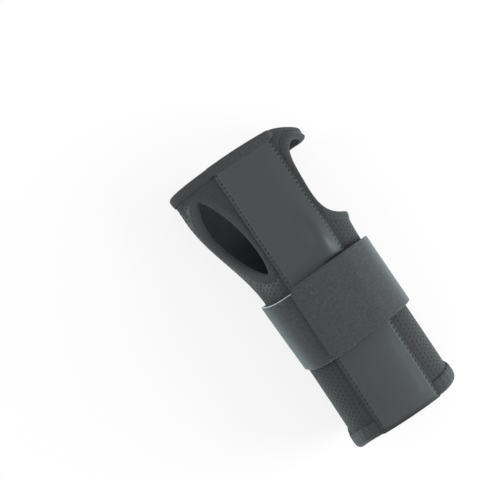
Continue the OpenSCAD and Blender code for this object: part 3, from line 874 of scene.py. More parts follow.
# %% Forms of the cover
PANEL_END = SPLINT_LEN - 2.0
SEAM_AT, STITCH, DIMPLE_R = 19.1, 3.08, 0.62
STAY_NEAR, STAY_FAR, STAY_HALF = 7.0, SPLINT_LEN - 13.0, 13.5
SWELL_HIGH, SWELL_SIDE, SWELL_NEAR, SWELL_FAR = 0.3, 6.0, 5.0, 8.0
STRAP_W, STRAP_AT = 50.0, 82.5
STRAP_LOW_S, STRAP_HIGH_S = STRAP_AT - STRAP_W / 2, STRAP_AT + STRAP_W / 2
STRAP_CLEAR, CLEAR_FADE = 3.0, 12.0
FOLD_S, FOLD_L, FOLD_LEN, FOLD_W, FOLD_HIGH = 123.5, 11.3, 15.0, 6.6, 4.4
FOLD_UNDER, FOLD_START = 3.5, 6.0


def seam_hole(s, l):
    """1 at the middle of a needle hole, fading out round it."""
    off = np.abs(l) - SEAM_AT
    near = ((s / STITCH + 0.5) % 1.0 - 0.5) * STITCH
    return np.exp(-(off ** 2 + near ** 2) / DIMPLE_R ** 2)


def stay_swell(s, l):
    """Rise of the cover over the stay, away from the strap that holds it flat."""
    over = ease((STAY_HALF + SWELL_SIDE / 2 - np.abs(l)) / SWELL_SIDE)
    over = over * ease((s - STAY_NEAR) / SWELL_NEAR) * ease((STAY_FAR - s) / SWELL_FAR)
    below, above = STRAP_LOW_S - STRAP_CLEAR - s, s - STRAP_HIGH_S - STRAP_CLEAR
    return SWELL_HIGH * over * np.maximum(ease(below / CLEAR_FADE), ease(above / CLEAR_FADE))


def strap_fold(s, l):
    """The soft bulge that the tight strap pushes up beside it, near the thumb side seam."""
    swell = np.exp(-((s - FOLD_S) / FOLD_LEN) ** 2 - ((l - FOLD_L) / FOLD_W) ** 2)
    return FOLD_HIGH * swell * ease((s - STRAP_HIGH_S + FOLD_UNDER) / FOLD_START)


print("needle holes on each side:", int(PANEL_END / STITCH))

# %% [markdown]
# ## The palm cover
# The cover is sewn to the mesh along both edges, with the stay under it. The seam pulls it into a
# groove, and outside the seam it thins and falls to its edge. Sculpting would not keep the
# dimples even, so it is a sheet whose columns are closest together along the seam.

# %% Palm cover
COVER_LOW, COVER_TOP, COVER_LIP, OVERHANG = 3.25, 4.75, 0.6, 0.2
COVER_HALF = PANEL_HALF + OVERHANG
GROOVE_W, GROOVE_DEEP, DIMPLE_DEEP = 0.9, 0.1, 0.45
# Columns from the palm line out, and across the seam, where the dimples need them
PLAIN_COUNT, SEAM_ROOM = 10, 2.4
PLAIN_COLS = np.linspace(0.0, SEAM_AT - SEAM_ROOM, PLAIN_COUNT)
SEAM_COLS = SEAM_AT + np.array([-1.6, -1.0, -0.66, -0.33, 0.0, 0.33, 0.66, 0.9])
ROWS_A_STITCH, RIM_CALM = 7, 1.5
EDGE_FALL, EDGE_THIN = 0.7, 0.8
TAPED_FROM, TAPED_FADE, TAPED_FALL = 124.0, 8.0, 0.5
EDGE_SHADE_THUMB, EDGE_SHADE_LITTLE, EDGE_SHADE_FOLD, EDGE_SHADE_W = 0.72, 0.42, 0.2, 1.0
FOLD_LIT_LEN = 11.0

half_cols = np.concatenate([PLAIN_COLS, SEAM_COLS, COVER_HALF - COVER_LIP * LIP_STEPS[::-1]])
s_rows = columns(0.0, PANEL_END, STITCH / ROWS_A_STITCH, COVER_LIP)
S, L = grid(s_rows, np.concatenate([-half_cols[::-1], half_cols[1:]]))
e = np.minimum(COVER_HALF - np.abs(L), np.minimum(S, PANEL_END - S))
past_seam = np.abs(L) - SEAM_AT
outside = ease(past_seam / (COVER_HALF - SEAM_AT))
fall = EDGE_FALL * outside * (1.0 - TAPED_FALL * ease((S - TAPED_FROM) / TAPED_FADE))
middle = (COVER_TOP + COVER_LOW) / 2 - fall
half = (COVER_TOP - COVER_LOW) / 2 * (1.0 - EDGE_THIN * outside) * lip(e, COVER_LIP)
calm = ease(e / RIM_CALM)
hole = seam_hole(S, L) * calm
groove = GROOVE_DEEP * np.exp(-(past_seam / GROOVE_W) ** 2)
moved = (stay_swell(S, L) + strap_fold(S, L) - groove - DIMPLE_DEEP * hole) * calm
# Painted shade for the needle holes and the strip outside the seam, less beside the fold, where that strip
# catches the light
beside_fold = np.exp(-((S - FOLD_S) / FOLD_LIT_LEN) ** 2)
edge_shade = np.where(L > 0, mix(EDGE_SHADE_THUMB, EDGE_SHADE_FOLD, beside_fold), EDGE_SHADE_LITTLE)
pressed = np.maximum(hole, edge_shade * ease(past_seam / EDGE_SHADE_W))
sheet("palm_cover_skin", S, L, middle + half + moved, middle - half, S,
      panel_finish, "splint", "palm_cover", pressed=pressed)

# %% [markdown]
# ## The lining
# The lining is the inner layer of the panel, and the pocket for the stay lies between it and the
# cover. It shows only through the ends and the openings, so a sculpted piece would be wasted: it
# is a plain sheet with a shallow pull along each seam.

# %% Palm lining
LINING_LOW, LINING_TOP, LINING_LIP = -1.45, -0.25, 0.5
LINING_STEP_S, LINING_STEP_L = 1.65, 1.6
LINING_PULL, LINING_PULL_W = 0.25, 1.2

S, L = grid(columns(HEM_T, PANEL_END, LINING_STEP_S, LINING_LIP),
            columns(-PANEL_HALF, PANEL_HALF, LINING_STEP_L, LINING_LIP))
e = np.minimum(PANEL_HALF - np.abs(L), np.minimum(S - HEM_T, PANEL_END - S))
middle = (LINING_TOP + LINING_LOW) / 2
half = (LINING_TOP - LINING_LOW) / 2 * lip(e, LINING_LIP)
drawn_up = LINING_PULL * np.exp(-((np.abs(L) - SEAM_AT) / LINING_PULL_W) ** 2) * ease(e / RIM_CALM)
sheet("palm_lining_skin", S, L, middle + half, middle - half + drawn_up, e,
      lining_finish, "splint", "palm_lining")

# %% [markdown]
# ## The two openings
# Each opening is a rounded outline on the surface: a blunt one on the thumb side and a leaf on the
# little finger side. Drawn curves would do, but one formula with powers of sine and cosine gives
# both. The same outline, moved out a little, trims the mesh, and its tape is a section swept
# along it, so both always fit.

# %% Outlines of the openings
TAPE_W = 6.0
THUMB = dict(mid=160.5, half=30.5, line=46.5, lean=4.5,
             near=22.0, far=22.0, side_power=0.6, end_power=0.6)
ULNAR = dict(mid=153.0, half=31.0, line=-32.0, lean=-11.5,
             near=11.5, far=6.0, side_power=1.5, end_power=1.0)
OPENINGS = (THUMB, ULNAR)
RIM_SAMPLES, SLOPE_TURN = 1441, math.radians(1.0)
RIM_TURNS = np.linspace(0.0, 2 * math.pi, RIM_SAMPLES)


def powered(v, p):
    return np.sign(v) * np.abs(v) ** p


def outline(opening, t):
    """Places l, s on an opening's finished edge at the turns t."""
    s = opening["mid"] + opening["half"] * powered(np.sin(t), opening["end_power"])
    line = opening["line"] + opening["lean"] * (s - opening["mid"]) / (2 * opening["half"])
    wide = np.where(np.cos(t) < 0, opening["far"], opening["near"])
    return np.stack([line - wide * powered(np.cos(t), opening["side_power"]), s], -1)


def outward(opening, t):
    v = outline(opening, t + SLOPE_TURN) - outline(opening, t - SLOPE_TURN)
    n = np.stack([-v[:, 1], v[:, 0]], -1)
    return n / np.linalg.norm(n, axis=1)[:, None]


def rim_places(opening, spacing, offset):
    """Places on the edge and the directions away from it, evenly spaced at an offset outside it."""
    line = outline(opening, RIM_TURNS) + offset * outward(opening, RIM_TURNS)
    run = np.concatenate([[0.0], np.cumsum(np.linalg.norm(np.diff(line, axis=0), axis=1))])
    count = math.ceil(run[-1] / spacing)
    turns = np.interp(np.arange(count) * run[-1] / count, run, RIM_TURNS)
    return outline(opening, turns), outward(opening, turns)


print("rims of the openings in mm:", [len(rim_places(o, 1.0, TAPE_W)[0]) for o in OPENINGS])

# %% [markdown]
# ## The mesh sleeve
# The sleeve is a thick knitted mesh with rows of small round holes. A bump alone would look flat
# from the side, so the holes are cut into the outer face. The sleeve is laid out flat first, as
# a sewing pattern is, from one edge of the panel round the back to the other.

# %% Lay out the sleeve
SLOT, EDGE_ROOM = 16.5, 1.2
RAW_EDGE = TAPE_T + EDGE_ROOM
SLEEVE_NEAR, SLEEVE_FAR = HEM_T + EDGE_ROOM, SPLINT_LEN - RAW_EDGE
GIRTH_SAMPLES = 50
FLAT_W = float(np.mean(girth(np.linspace(0, SPLINT_LEN, GIRTH_SAMPLES)))) - 2 * SLOT
EDGE_STEP, NO_GAP = 1.5, 1e-12


def flat_to_l(s, w):
    """Distance round the sleeve of a flat place, which leaves out the slot under the panel."""
    return SLOT + (girth(s) - 2 * SLOT) * w / FLAT_W


def l_to_flat(s, l):
    full = girth(s)
    return (np.where(l < 0, l + full, l) - SLOT) / (full - 2 * SLOT) * FLAT_W


def flat_rim(opening, offset):
    edge, out = rim_places(opening, EDGE_STEP, offset)
    line = edge + offset * out
    return np.stack([line[:, 1], l_to_flat(line[:, 1], line[:, 0])], -1)


def inside(points, ring):
    """Which points lie inside a closed line."""
    found = np.zeros(len(points), bool)
    for (x0, y0), (x1, y1) in zip(ring, np.roll(ring, -1, axis=0)):
        crosses = (y0 > points[:, 1]) != (y1 > points[:, 1])
        found ^= crosses & (points[:, 0] < (x1 - x0) * (points[:, 1] - y0) / (y1 - y0 + NO_GAP) + x0)
    return found


print("flat sleeve in mm:", round(SLEEVE_FAR - SLEEVE_NEAR, 1), "by", round(FLAT_W, 1))

# %% [markdown]
# ## Filling the flat sleeve
# Each hole needs a point of its own, in a honeycomb order, and the cut edges need evenly spaced
# points too. A plain grid can't follow such edges, so a triangulation joins both kinds of points,
# and the triangles inside the openings are left out.

# %% Fill the flat sleeve
HOLE_PITCH, FLAT_MERGE = 3.1, 1e-5
# Room in pitches between the honeycomb and the near, the side, the far and the trimmed edges
NEAR_ROOM, SIDE_ROOM, FAR_ROOM, RIM_ROOM = 0.5, 0.6, 0.4, 0.6


def box_line(corners, count):
    """A closed line through corners, with count(a, b) points on the side from a to b."""
    return np.concatenate([np.linspace(a, b, count(a, b), endpoint=False)
                           for a, b in zip(corners, corners[1:] + corners[:1])])


def honeycomb():
    """The points of the flat sleeve that don't lie on an edge."""
    row_step = HOLE_PITCH * math.sqrt(3) / 2
    rows, cols = int(FLAT_W / row_step), int((SLEEVE_FAR - SLEEVE_NEAR) / HOLE_PITCH)
    j, i = grid(np.arange(rows), np.arange(cols))
    s = SLEEVE_NEAR + HOLE_PITCH * (NEAR_ROOM + i + 0.5 * (j % 2))
    points = np.stack([s, HOLE_PITCH * SIDE_ROOM + row_step * j], -1).reshape(-1, 2)
    fits = (points < np.array([SLEEVE_FAR, FLAT_W]) - FAR_ROOM * HOLE_PITCH).all(1)
    for opening in OPENINGS:
        fits &= ~inside(points, flat_rim(opening, RAW_EDGE + RIM_ROOM * HOLE_PITCH))
    return points[fits]


def flat_sleeve():
    """Points and triangles that fill the flat sleeve round its two openings."""
    corners = [(SLEEVE_NEAR, 0.0), (SLEEVE_FAR, 0.0), (SLEEVE_FAR, FLAT_W), (SLEEVE_NEAR, FLAT_W)]
    rims = [flat_rim(opening, RAW_EDGE) for opening in OPENINGS]
    points, edges = [], []
    for line in (box_line(corners, lambda a, b: math.ceil(math.dist(a, b) / EDGE_STEP)), *rims):
        start = len(points)
        points += line.tolist()
        edges += [(start + i, start + (i + 1) % len(line)) for i in range(len(line))]
    points += honeycomb().tolist()
    flat, _, faces, _, _, _ = delaunay_2d_cdt([Vector(p) for p in points], edges, [], 0, FLAT_MERGE, False)
    flat, faces = (np.array([tuple(x) for x in found]) for found in (flat, faces))
    for ring in rims:
        faces = faces[~inside(flat[faces].mean(1), ring)]
    return flat, faces


flat, triangles = flat_sleeve()
flat_s, flat_w = flat.T
flat_l = flat_to_l(flat_s, flat_w)
print("flat sleeve:", len(flat), "points,", len(triangles), "triangles")

# %% [markdown]
# ## Where holes show and cloth is pulled
# Holes under tape, hem, panel or strap would only cost faces, so each point carries an attribute
# named shows. Another is strongest along the side opening's tape, where the cloth is stretched in
# use, and feeds the creases of the finish and their lighter colour, which is partly painted light.

# %% Attributes of the sleeve
PANEL_EDGE, FINGER_BAND = PANEL_HALF + SEAM_GAP, 7.0
HOLE_ROOM_PANEL, HOLE_ROOM_FINGER, HOLE_ROOM_TAPE, HOLES_FROM = 0.8, 0.6, 0.7, 10.6
HIDDEN_LOW, HIDDEN_HIGH, HIDDEN_FROM, PALM_PLAIN = 1.0, 3.0, 52.0, 44.0
PULL_STEP, PULL_REACH, PULL_TURN = 1.0, 11.0, 6.0
PULL_END, PULL_PANEL, PULL_FINGER = 4.0, 4.0, 9.0


def hole_shows(s, w):
    """1 where a hole of the mesh is not covered by tape, hem, panel or the fixed part of the strap."""
    l = flat_to_l(s, w)
    a = np.minimum(l, girth(s) - l)
    shows = (a > PANEL_EDGE + HOLE_ROOM_PANEL) & (s > HOLES_FROM)
    shows &= s < SPLINT_LEN - FINGER_BAND - HOLE_ROOM_FINGER
    shows &= (s < STRAP_LOW_S + HIDDEN_LOW) | (s > STRAP_HIGH_S - HIDDEN_HIGH) | (l < HIDDEN_FROM)
    shows &= (s < ULNAR["mid"]) | (a > PALM_PLAIN)
    for opening in OPENINGS:
        shows &= ~inside(np.stack([s, w], -1), flat_rim(opening, TAPE_W + HOLE_ROOM_TAPE))
    return shows


def opening_pull(s, l):
    """1 at the side opening's tape, on its outer side and at its near end, down to 0 away from it."""
    edge, _ = rim_places(ULNAR, PULL_STEP, TAPE_W)
    l = np.where(l > 0.5 * girth(s), l - girth(s), l)
    away = np.min(np.hypot(l[:, None] - edge[None, :, 0], s[:, None] - edge[None, :, 1]), axis=1) - TAPE_W
    outer_side = ease((ULNAR["line"] - l) / PULL_TURN)
    near_end = ease((ULNAR["mid"] - ULNAR["half"] + PULL_END - s) / PULL_TURN)
    fade = ease((-PANEL_EDGE - l) / PULL_PANEL) * ease((SPLINT_LEN - PULL_FINGER - s) / PULL_TURN)
    return np.clip(1.0 - away / PULL_REACH, 0.0, 1.0) * np.maximum(outer_side, near_end) * fade


shows, pulled = hole_shows(flat_s, flat_w), opening_pull(flat_s, flat_l)
print("points with a hole:", int(shows.sum()), "and with a pull:", int((pulled > 0).sum()))

# %% [markdown]
# ## Trees of Geometry Nodes
# Holes, hooks and stitches repeat too often to be placed by hand. Each gets a tree with named
# inputs for its sizes, and one object can then be made again with other sizes. A tree ends in
# Realize Instances and Set Material, and its result is made a plain mesh, because an export drops
# instances.

# %% Tree helpers
FLOAT, MATERIAL = "NodeSocketFloat", "NodeSocketMaterial"


def tree_with(name, **inputs):
    tree = bpy.data.node_groups.new(name, "GeometryNodeTree")
    tree.interface.new_socket(name="Geometry", in_out="INPUT", socket_type="NodeSocketGeometry")
    for title, kind in inputs.items():
        tree.interface.new_socket(name=title.replace("_", " "), in_out="INPUT", socket_type=kind)
    tree.interface.new_socket(name="Geometry", in_out="OUTPUT", socket_type="NodeSocketGeometry")
    return tree, partial(add_node, tree), add_node(tree, "NodeGroupInput").outputs


def end_tree(tree, geometry, *paints):
    """Ends a tree in Realize Instances and a Set Material for each material and the faces it goes on."""
    last = add_node(tree, "GeometryNodeRealizeInstances", {"Geometry": geometry})
    for material, where in paints:
        last = add_node(tree, "GeometryNodeSetMaterial",
                        {"Geometry": last, "Material": material, "Selection": where})
    add_node(tree, "NodeGroupOutput", {"Geometry": last})


def run_tree(source, tree, **values):
    """The plain mesh that a tree makes of an object, which is removed."""
    modifier = source.modifiers.new(tree.name, "NODES")
    modifier.node_group = tree
    names = {i.name: i.identifier for i in tree.interface.items_tree if i.in_out == "INPUT"}
    for title, value in values.items():
        modifier[names[title.replace("_", " ")]] = value
    bpy.context.view_layer.update()
    graph = bpy.context.evaluated_depsgraph_get()
    mesh = bpy.data.meshes.new_from_object(source.evaluated_get(graph), depsgraph=graph)
    source.modifiers.remove(modifier)
    bpy.data.objects.remove(source)
    return mesh


print("inputs of a tree:", FLOAT, "and", MATERIAL)

# %% [markdown]
# ## The holes
# About two thousand holes are too many to model singly, and Boolean cuts are slow. A tree takes the
# dual of the triangles, which is a honeycomb of six-sided cells, draws a smaller cell inside
# each whole one that shows, sinks it and narrows its floor.

# %% Hole tree
WHOLE, CELL_CORNERS, SMOOTH_BELOW = 0.99, 6, math.radians(35.0)

hole_tree, new, given = tree_with("mesh holes", Hole_size=FLOAT, Hole_depth=FLOAT, Taper=FLOAT,
                                  Cloth_finish=MATERIAL, Hole_finish=MATERIAL)
cells = new("GeometryNodeDualMesh", {"Mesh": given["Geometry"], "Keep Boundaries": True})
shown = new("GeometryNodeInputNamedAttribute", {"Name": "shows"}, data_type="FLOAT")
whole = new("FunctionNodeCompare", {"A": shown, "B": WHOLE}, data_type="FLOAT", operation="GREATER_THAN")
corners = new("GeometryNodeInputMeshFaceNeighbors").outputs["Vertex Count"]
six = new("FunctionNodeCompare", {"A_INT": corners, "B_INT": CELL_CORNERS},
          data_type="INT", operation="EQUAL")
chosen = new("FunctionNodeBooleanMath", {"Boolean": whole, "Boolean_001": six}, operation="AND")
ring = new("GeometryNodeExtrudeMesh", {"Mesh": cells, "Selection": chosen, "Offset Scale": 0.0},
           mode="FACES").outputs
mouth = new("GeometryNodeScaleElements", domain="FACE", inputs={
    "Geometry": ring["Mesh"], "Selection": ring["Top"], "Scale": given["Hole size"]})
down = maths(hole_tree, "MULTIPLY", given["Hole depth"], -1.0)
sunk = new("GeometryNodeExtrudeMesh", {"Mesh": mouth, "Selection": ring["Top"], "Offset Scale": down},
           mode="FACES").outputs
narrowed = new("GeometryNodeScaleElements", domain="FACE", inputs={
    "Geometry": sunk["Mesh"], "Selection": sunk["Top"], "Scale": given["Taper"]})
hole_faces = new("FunctionNodeBooleanMath", {"Boolean": sunk["Top"], "Boolean_001": sunk["Side"]},
                 operation="OR")
bend = new("GeometryNodeInputMeshEdgeAngle").outputs["Unsigned Angle"]
gentle = new("FunctionNodeCompare", {"A": bend, "B": SMOOTH_BELOW},
             data_type="FLOAT", operation="LESS_THAN")
shaded = new("GeometryNodeSetShadeSmooth", {"Geometry": narrowed, "Shade Smooth": gentle}, domain="EDGE")
end_tree(hole_tree, shaded, (given["Cloth finish"], True), (given["Hole finish"], hole_faces))
print("nodes of the hole tree:", len(hole_tree.nodes))

# %% [markdown]
# ## Cutting the holes
# The tree runs on the outer face alone, which is bent on to the surface before it. Holes that
# were cut in the flat layout would be stretched with it.

# %% Cut the holes
HOLE_SIZE, HOLE_DEEP, HOLE_TAPER = 0.37, 0.32, 0.75
# The mesh finish has no rim, so one distance to the edge does for the whole sleeve
FAR_FROM_EDGE = 9.0


def face_out(points, faces):
    """The faces, turned round if they point inwards."""
    a, b, c = (points[faces[:, i]] for i in range(3))
    normal = np.cross(b - a, c - a)
    inward = np.einsum("ij,ij->i", normal, (a + b + c) / 3 - points.mean(0)).sum() < 0
    return faces[:, ::-1] if inward else faces


outer = on(flat_s, flat_l, MESH_T)
triangles = face_out(outer, triangles)
flat_cloth = cloth_map(flat_s, flat_w, FAR_FROM_EDGE)
mesh = bpy.data.meshes.new("sleeve outside")
mesh.from_pydata(outer.tolist(), [], triangles.tolist())
for title, values in (("cloth", flat_cloth), ("shows", shows), ("pull", pulled)):
    set_attribute(mesh, title, values)
holed = run_tree(add_object("sleeve outside", mesh), hole_tree, Hole_size=HOLE_SIZE,
                 Hole_depth=HOLE_DEEP * MM, Taper=HOLE_TAPER,
                 Cloth_finish=mesh_finish.material, Hole_finish=pore_finish.material)
print("holed face:", len(holed.polygons), "faces")

# %% [markdown]
# ## Closing the sleeve
# The tree gives only the outer face. Solidify would carry the holes through to the inside, so
# the same triangles are laid on the inside and a wall is put along every border. The dual has a
# point in the middle of each border edge, so each wall has one there too.

# %% Close the sleeve
SLEEVE_MERGE = 2e-6

sides = np.concatenate([triangles[:, [0, 1]], triangles[:, [1, 2]], triangles[:, [2, 0]]])
_, where, times = np.unique(np.sort(sides, axis=1), axis=0, return_index=True, return_counts=True)
first, last = sides[where[times == 1]].T
total = len(flat)
between = 2 * total + np.arange(len(first))
walls = np.stack([total + last, between, total + first, first, last], -1)
inner = bpy.data.meshes.new("sleeve inside")
points = np.concatenate([on(flat_s, flat_l, 0.0), outer, (outer[first] + outer[last]) / 2])
inner.from_pydata(points.tolist(), [], triangles[:, ::-1].tolist() + walls.tolist())
set_attribute(inner, "cloth", np.concatenate([flat_cloth, flat_cloth, flat_cloth[first]]))
inner.materials.append(mesh_finish.material)
smooth_faces(inner)
work = bmesh.new()
work.from_mesh(inner)
bmesh.ops.delete(work, geom=[v for v in work.verts if not v.link_faces], context="VERTS")
work.to_mesh(inner)
work.clear()
for layer in (holed, inner):
    work.from_mesh(layer)
bmesh.ops.remove_doubles(work, verts=work.verts, dist=SLEEVE_MERGE)
print("open edges:", open_edges(work))
work.to_mesh(holed)
work.free()
bpy.data.meshes.remove(inner)
add_piece("mesh_sleeve_cloth", holed, "splint", "mesh_sleeve")

# %% [markdown]
# ## Folded tapes
# The edges of the mesh are wrapped in a folded tape, and the cuff in a wider hem. A fold has one
# section all along: two legs and a rounded back. A Solidify modifier would give it one thickness,
# but a tape thins to its free edge, and small waves along the sewn leg show the pull of the
# stitches. So the section is a formula.

# %% Folded sections
LEG_POINTS, TURN_POINTS, FREE_EDGE = 5, 11, 0.12
THIN_SHARE, TAPE_BEND = 0.8, 1.7
# Lengths in pitches and sizes of the three waves along a sewn edge
WAVE_LENGTHS, WAVE_SIZES = (1.0, 2.7, 6.1), (1.0, 0.7, 0.5)


def fold_section(width, top, low, t, bend):
    """Places e in from the edge and heights d round a folded tape; width, top and low are arrays."""
    width, top, low = (np.asarray(x, float)[:, None] for x in np.broadcast_arrays(width, top, low))
    share = np.linspace(1.0, 0.0, LEG_POINTS + 1)[None, :-1]
    turn = np.linspace(0.5 * math.pi, 1.5 * math.pi, TURN_POINTS)[None]
    mid, half = (top + low) / 2, (top - low) / 2 + SEAM_GAP
    leg = bend + (width - FREE_EDGE - bend) * share
    ones = np.ones_like(leg)
    e_parts = [width, leg, bend + bend * np.cos(turn) + 0 * width, leg[:, ::-1], width,
               leg, bend + (bend - t) * np.cos(turn[:, ::-1]) + 0 * width, leg[:, ::-1]]
    d_parts = [top + SEAM_GAP + t / 2, (top + SEAM_GAP + t) * ones, mid + (half + t) * np.sin(turn),
               (low - SEAM_GAP - t) * ones, low - SEAM_GAP - t / 2, (low - SEAM_GAP) * ones,
               mid + half * np.sin(turn[:, ::-1]), (top + SEAM_GAP) * ones]
    return np.concatenate(e_parts, 1), np.concatenate(d_parts, 1)


def thinned(inset, reach):
    """Share of its thickness that a tape keeps at an inset from an edge where it thins over a reach."""
    return 1.0 - THIN_SHARE * ease((reach - inset) / reach)


def thin_edge(e, d, width, base, reach):
    return np.where(d > base, base + (d - base) * thinned(width - e, reach), d)


def waves(run, pitch, seed):
    """Small uneven waves along a sewn edge, from -1 to 1, as a column."""
    phases = np.random.default_rng(seed).uniform(0.0, 2 * math.pi, len(WAVE_SIZES))
    total = sum(size * np.sin(2 * math.pi * run / (length * pitch) + phase)
                for length, size, phase in zip(WAVE_LENGTHS, WAVE_SIZES, phases))
    return total[:, None] / sum(WAVE_SIZES)


print("points round a folded section:", fold_section([TAPE_W], MESH_T, 0.0, TAPE_T, TAPE_BEND)[0].size)

# %% [markdown]
# ## Sweeping a section
# A bevelled curve would twist on the bent surface. Instead, the section is laid in s, l and d at
# many places along an edge, and the rows of points are joined to a closed skin. What would reach
# under the floor is laid flat on it, as soft cloth is on a table.

# %% Sweep helper
def swept(name, s, l, d, cloth, finish, node, closed=True, **extra):
    """A closed skin through rows of places, each row a closed loop, laid flat on the floor."""
    points = on(s, l, d)
    points[..., 2] = np.maximum(points[..., 2], 0.0)
    rows, cols = points.shape[:2]
    index = np.arange(rows * cols).reshape(rows, cols)
    index = np.concatenate([index, index[:, :1]], 1)
    if closed:
        index = np.concatenate([index, index[:1]], 0)
    faces = quads(index).tolist()
    if not closed:
        faces += [index[0, :-1].tolist(), index[-1, :-1][::-1].tolist()]
    attributes = {"cloth": cloth, **{title: values.ravel() for title, values in extra.items()}}
    return add_skin(name, points.reshape(-1, 3), faces, attributes, finish, "splint", node)


hem_back = on(0.0, girth(0.0) / 2, MESH_T + SEAM_GAP + HEM_T)
print("back of the hem over the floor in mm:", round(float(hem_back[2]) / MM, 2))

# %% [markdown]
# ## Tapes round the openings
# Each opening has a soft knit tape folded over its edge. A tape of one width would run into the
# panel and the finger edge, so it gets narrower where they leave less room, as if it were
# trimmed there.

# %% Tapes round the openings
TAPE_STEP, TAPE_THIN = 0.9, 3.4
WEB_BAND, LEAST_SLOPE = 3.4, 0.05
RIPPLE_HIGH, RIPPLE_FROM, RIPPLE_FADE = 0.1, 1.0, 2.0
# Shift that gives the inside of a tape its own part of the pattern
INSIDE_SHIFT = 20.0
# Added to the distance to a tape's free edge, so that a rim effect would not start there
EDGE_MARGIN = 1.0


def room(gap, slope):
    """How far a tape may reach along a slope until it has closed a gap."""
    return np.where(slope > LEAST_SLOPE, gap / np.maximum(slope, LEAST_SLOPE), TAPE_W)


def opening_tape(name, opening, node, seed):
    edge, out = rim_places(opening, TAPE_STEP, TAPE_W)
    palm_room = room(np.abs(edge[:, 0]) - PANEL_EDGE, -np.sign(edge[:, 0]) * out[:, 0])
    end_room = room(SPLINT_LEN - WEB_BAND - SEAM_GAP - edge[:, 1], out[:, 1])
    width = np.minimum(TAPE_W, np.minimum(palm_room, end_room))
    e, d = fold_section(width, MESH_T, 0.0, TAPE_T, TAPE_BEND)
    d = thin_edge(e, d, width[:, None], MESH_T, TAPE_THIN)
    outside = d > MESH_T / 2
    run = np.arange(len(edge)) * TAPE_STEP
    ripple = waves(run, STITCH, seed) * ease((e - RIPPLE_FROM) / RIPPLE_FADE) * RIPPLE_HIGH * outside
    l, s = (edge[:, None, i] + e * out[:, None, i] for i in range(2))
    cloth = cloth_map(run[:, None], e + INSIDE_SHIFT * ~outside, width[:, None] - e + EDGE_MARGIN)
    swept(name, s, l, d + ripple, cloth, tape_finish, node)


opening_tape("thumb_tape", THUMB, "thumb_binding", seed=11)
opening_tape("ulnar_tape", ULNAR, "ulnar_binding", seed=12)

# %% [markdown]
# ## Finger tape
# A wider tape closes the finger edge and the far end of the panel's pocket. It steps up from
# the mesh on to the thicker panel, and it is narrower beside the thumb opening. It is swept like
# the others, along the edge of the surface itself.

# %% Tape along the finger edge
FINGER_COUNT, FINGER_BEND, FINGER_THIN = 240, 1.9, 4.0
STEP_FROM, STEP_LEN, WEB_STEP = 0.2, 3.0, 7.0
FINGER_RIPPLE_HIGH, FINGER_RIPPLE_FROM = 0.12, 1.2


def outer_at(a):
    """Height of the outside of the fabric at a distance a from the palm line."""
    return mix(COVER_TOP, MESH_T, ease((a - PANEL_HALF - STEP_FROM) / STEP_LEN))


def inner_at(a):
    return mix(LINING_LOW, 0.0, ease((a - PANEL_HALF - STEP_FROM) / STEP_LEN))


share = np.arange(FINGER_COUNT) / FINGER_COUNT
edge_l = share * girth(SPLINT_LEN)
a = np.minimum(edge_l, girth(SPLINT_LEN) - edge_l)
width = mix(WEB_BAND, FINGER_BAND, ease((np.abs(edge_l - WEB_MID) - THUMB["near"]) / WEB_STEP))
e, d = fold_section(width, outer_at(a), inner_at(a), TAPE_T, FINGER_BEND)
d = thin_edge(e, d, width[:, None], (outer_at(a) + SEAM_GAP)[:, None], FINGER_THIN)
outside = d > ((outer_at(a) + inner_at(a)) / 2)[:, None]
ripple = waves(edge_l, STITCH, seed=13) * ease((e - FINGER_RIPPLE_FROM) / RIPPLE_FADE)
s = SPLINT_LEN - e
swept("finger_tape", s, share[:, None] * girth(s), d + ripple * FINGER_RIPPLE_HIGH * outside,
      cloth_map(edge_l[:, None], e, width[:, None] - e + EDGE_MARGIN), tape_finish, "finger_binding")

# %% [markdown]
# ## Hem
# The cuff ends in a wide folded hem that stops at both edges of the panel, so the pocket stays
# open for the stay. It is rolled and more wrinkled than the tapes, so it has larger waves, and
# its little finger side, where the light falls, gets painted light from its own share of the
# lighter colour of the creases.

# %% Hem at the cuff
HEM_W, HEM_COUNT, HEM_BEND = 10.0, 210, 2.6
HEM_WAVE, HEM_RIPPLE_HIGH, HEM_RIPPLE_FROM, HEM_RIPPLE_FADE = 4.2, 0.4, 1.5, 4.0
HEM_ROLL, HEM_END_THIN = 0.25, 6.0
# Painted light on the little finger side, measured back from the palm line
PAINTED_LIGHT_SHARE, PAINTED_LIGHT_FROM, PAINTED_LIGHT_FROM_FADE, PAINTED_LIGHT_TO, PAINTED_LIGHT_TO_FADE = 0.9, 62.0, 20.0, 24.0, 16.0


def hem_places(s, share):
    return PANEL_EDGE + share * (girth(s) - 2 * PANEL_EDGE)


share = np.linspace(0.0, 1.0, HEM_COUNT)
edge_l = hem_places(0.0, share)
to_palm = girth(0.0) - edge_l
e, d = fold_section(np.full(HEM_COUNT, HEM_W), MESH_T, 0.0, HEM_T, HEM_BEND)
outside = d > MESH_T / 2
ripple = waves(edge_l, HEM_WAVE, seed=14) * ease((e - HEM_RIPPLE_FROM) / HEM_RIPPLE_FADE)
roll = HEM_ROLL * np.sin(np.clip(e / HEM_W, 0, 1) * math.pi)
raised = d + (ripple * HEM_RIPPLE_HIGH + roll) * outside - MESH_T - SEAM_GAP
from_end = np.minimum(edge_l, to_palm)[:, None] - PANEL_EDGE
d = np.where(raised > 0, MESH_T + SEAM_GAP + raised * thinned(from_end, HEM_END_THIN), d)
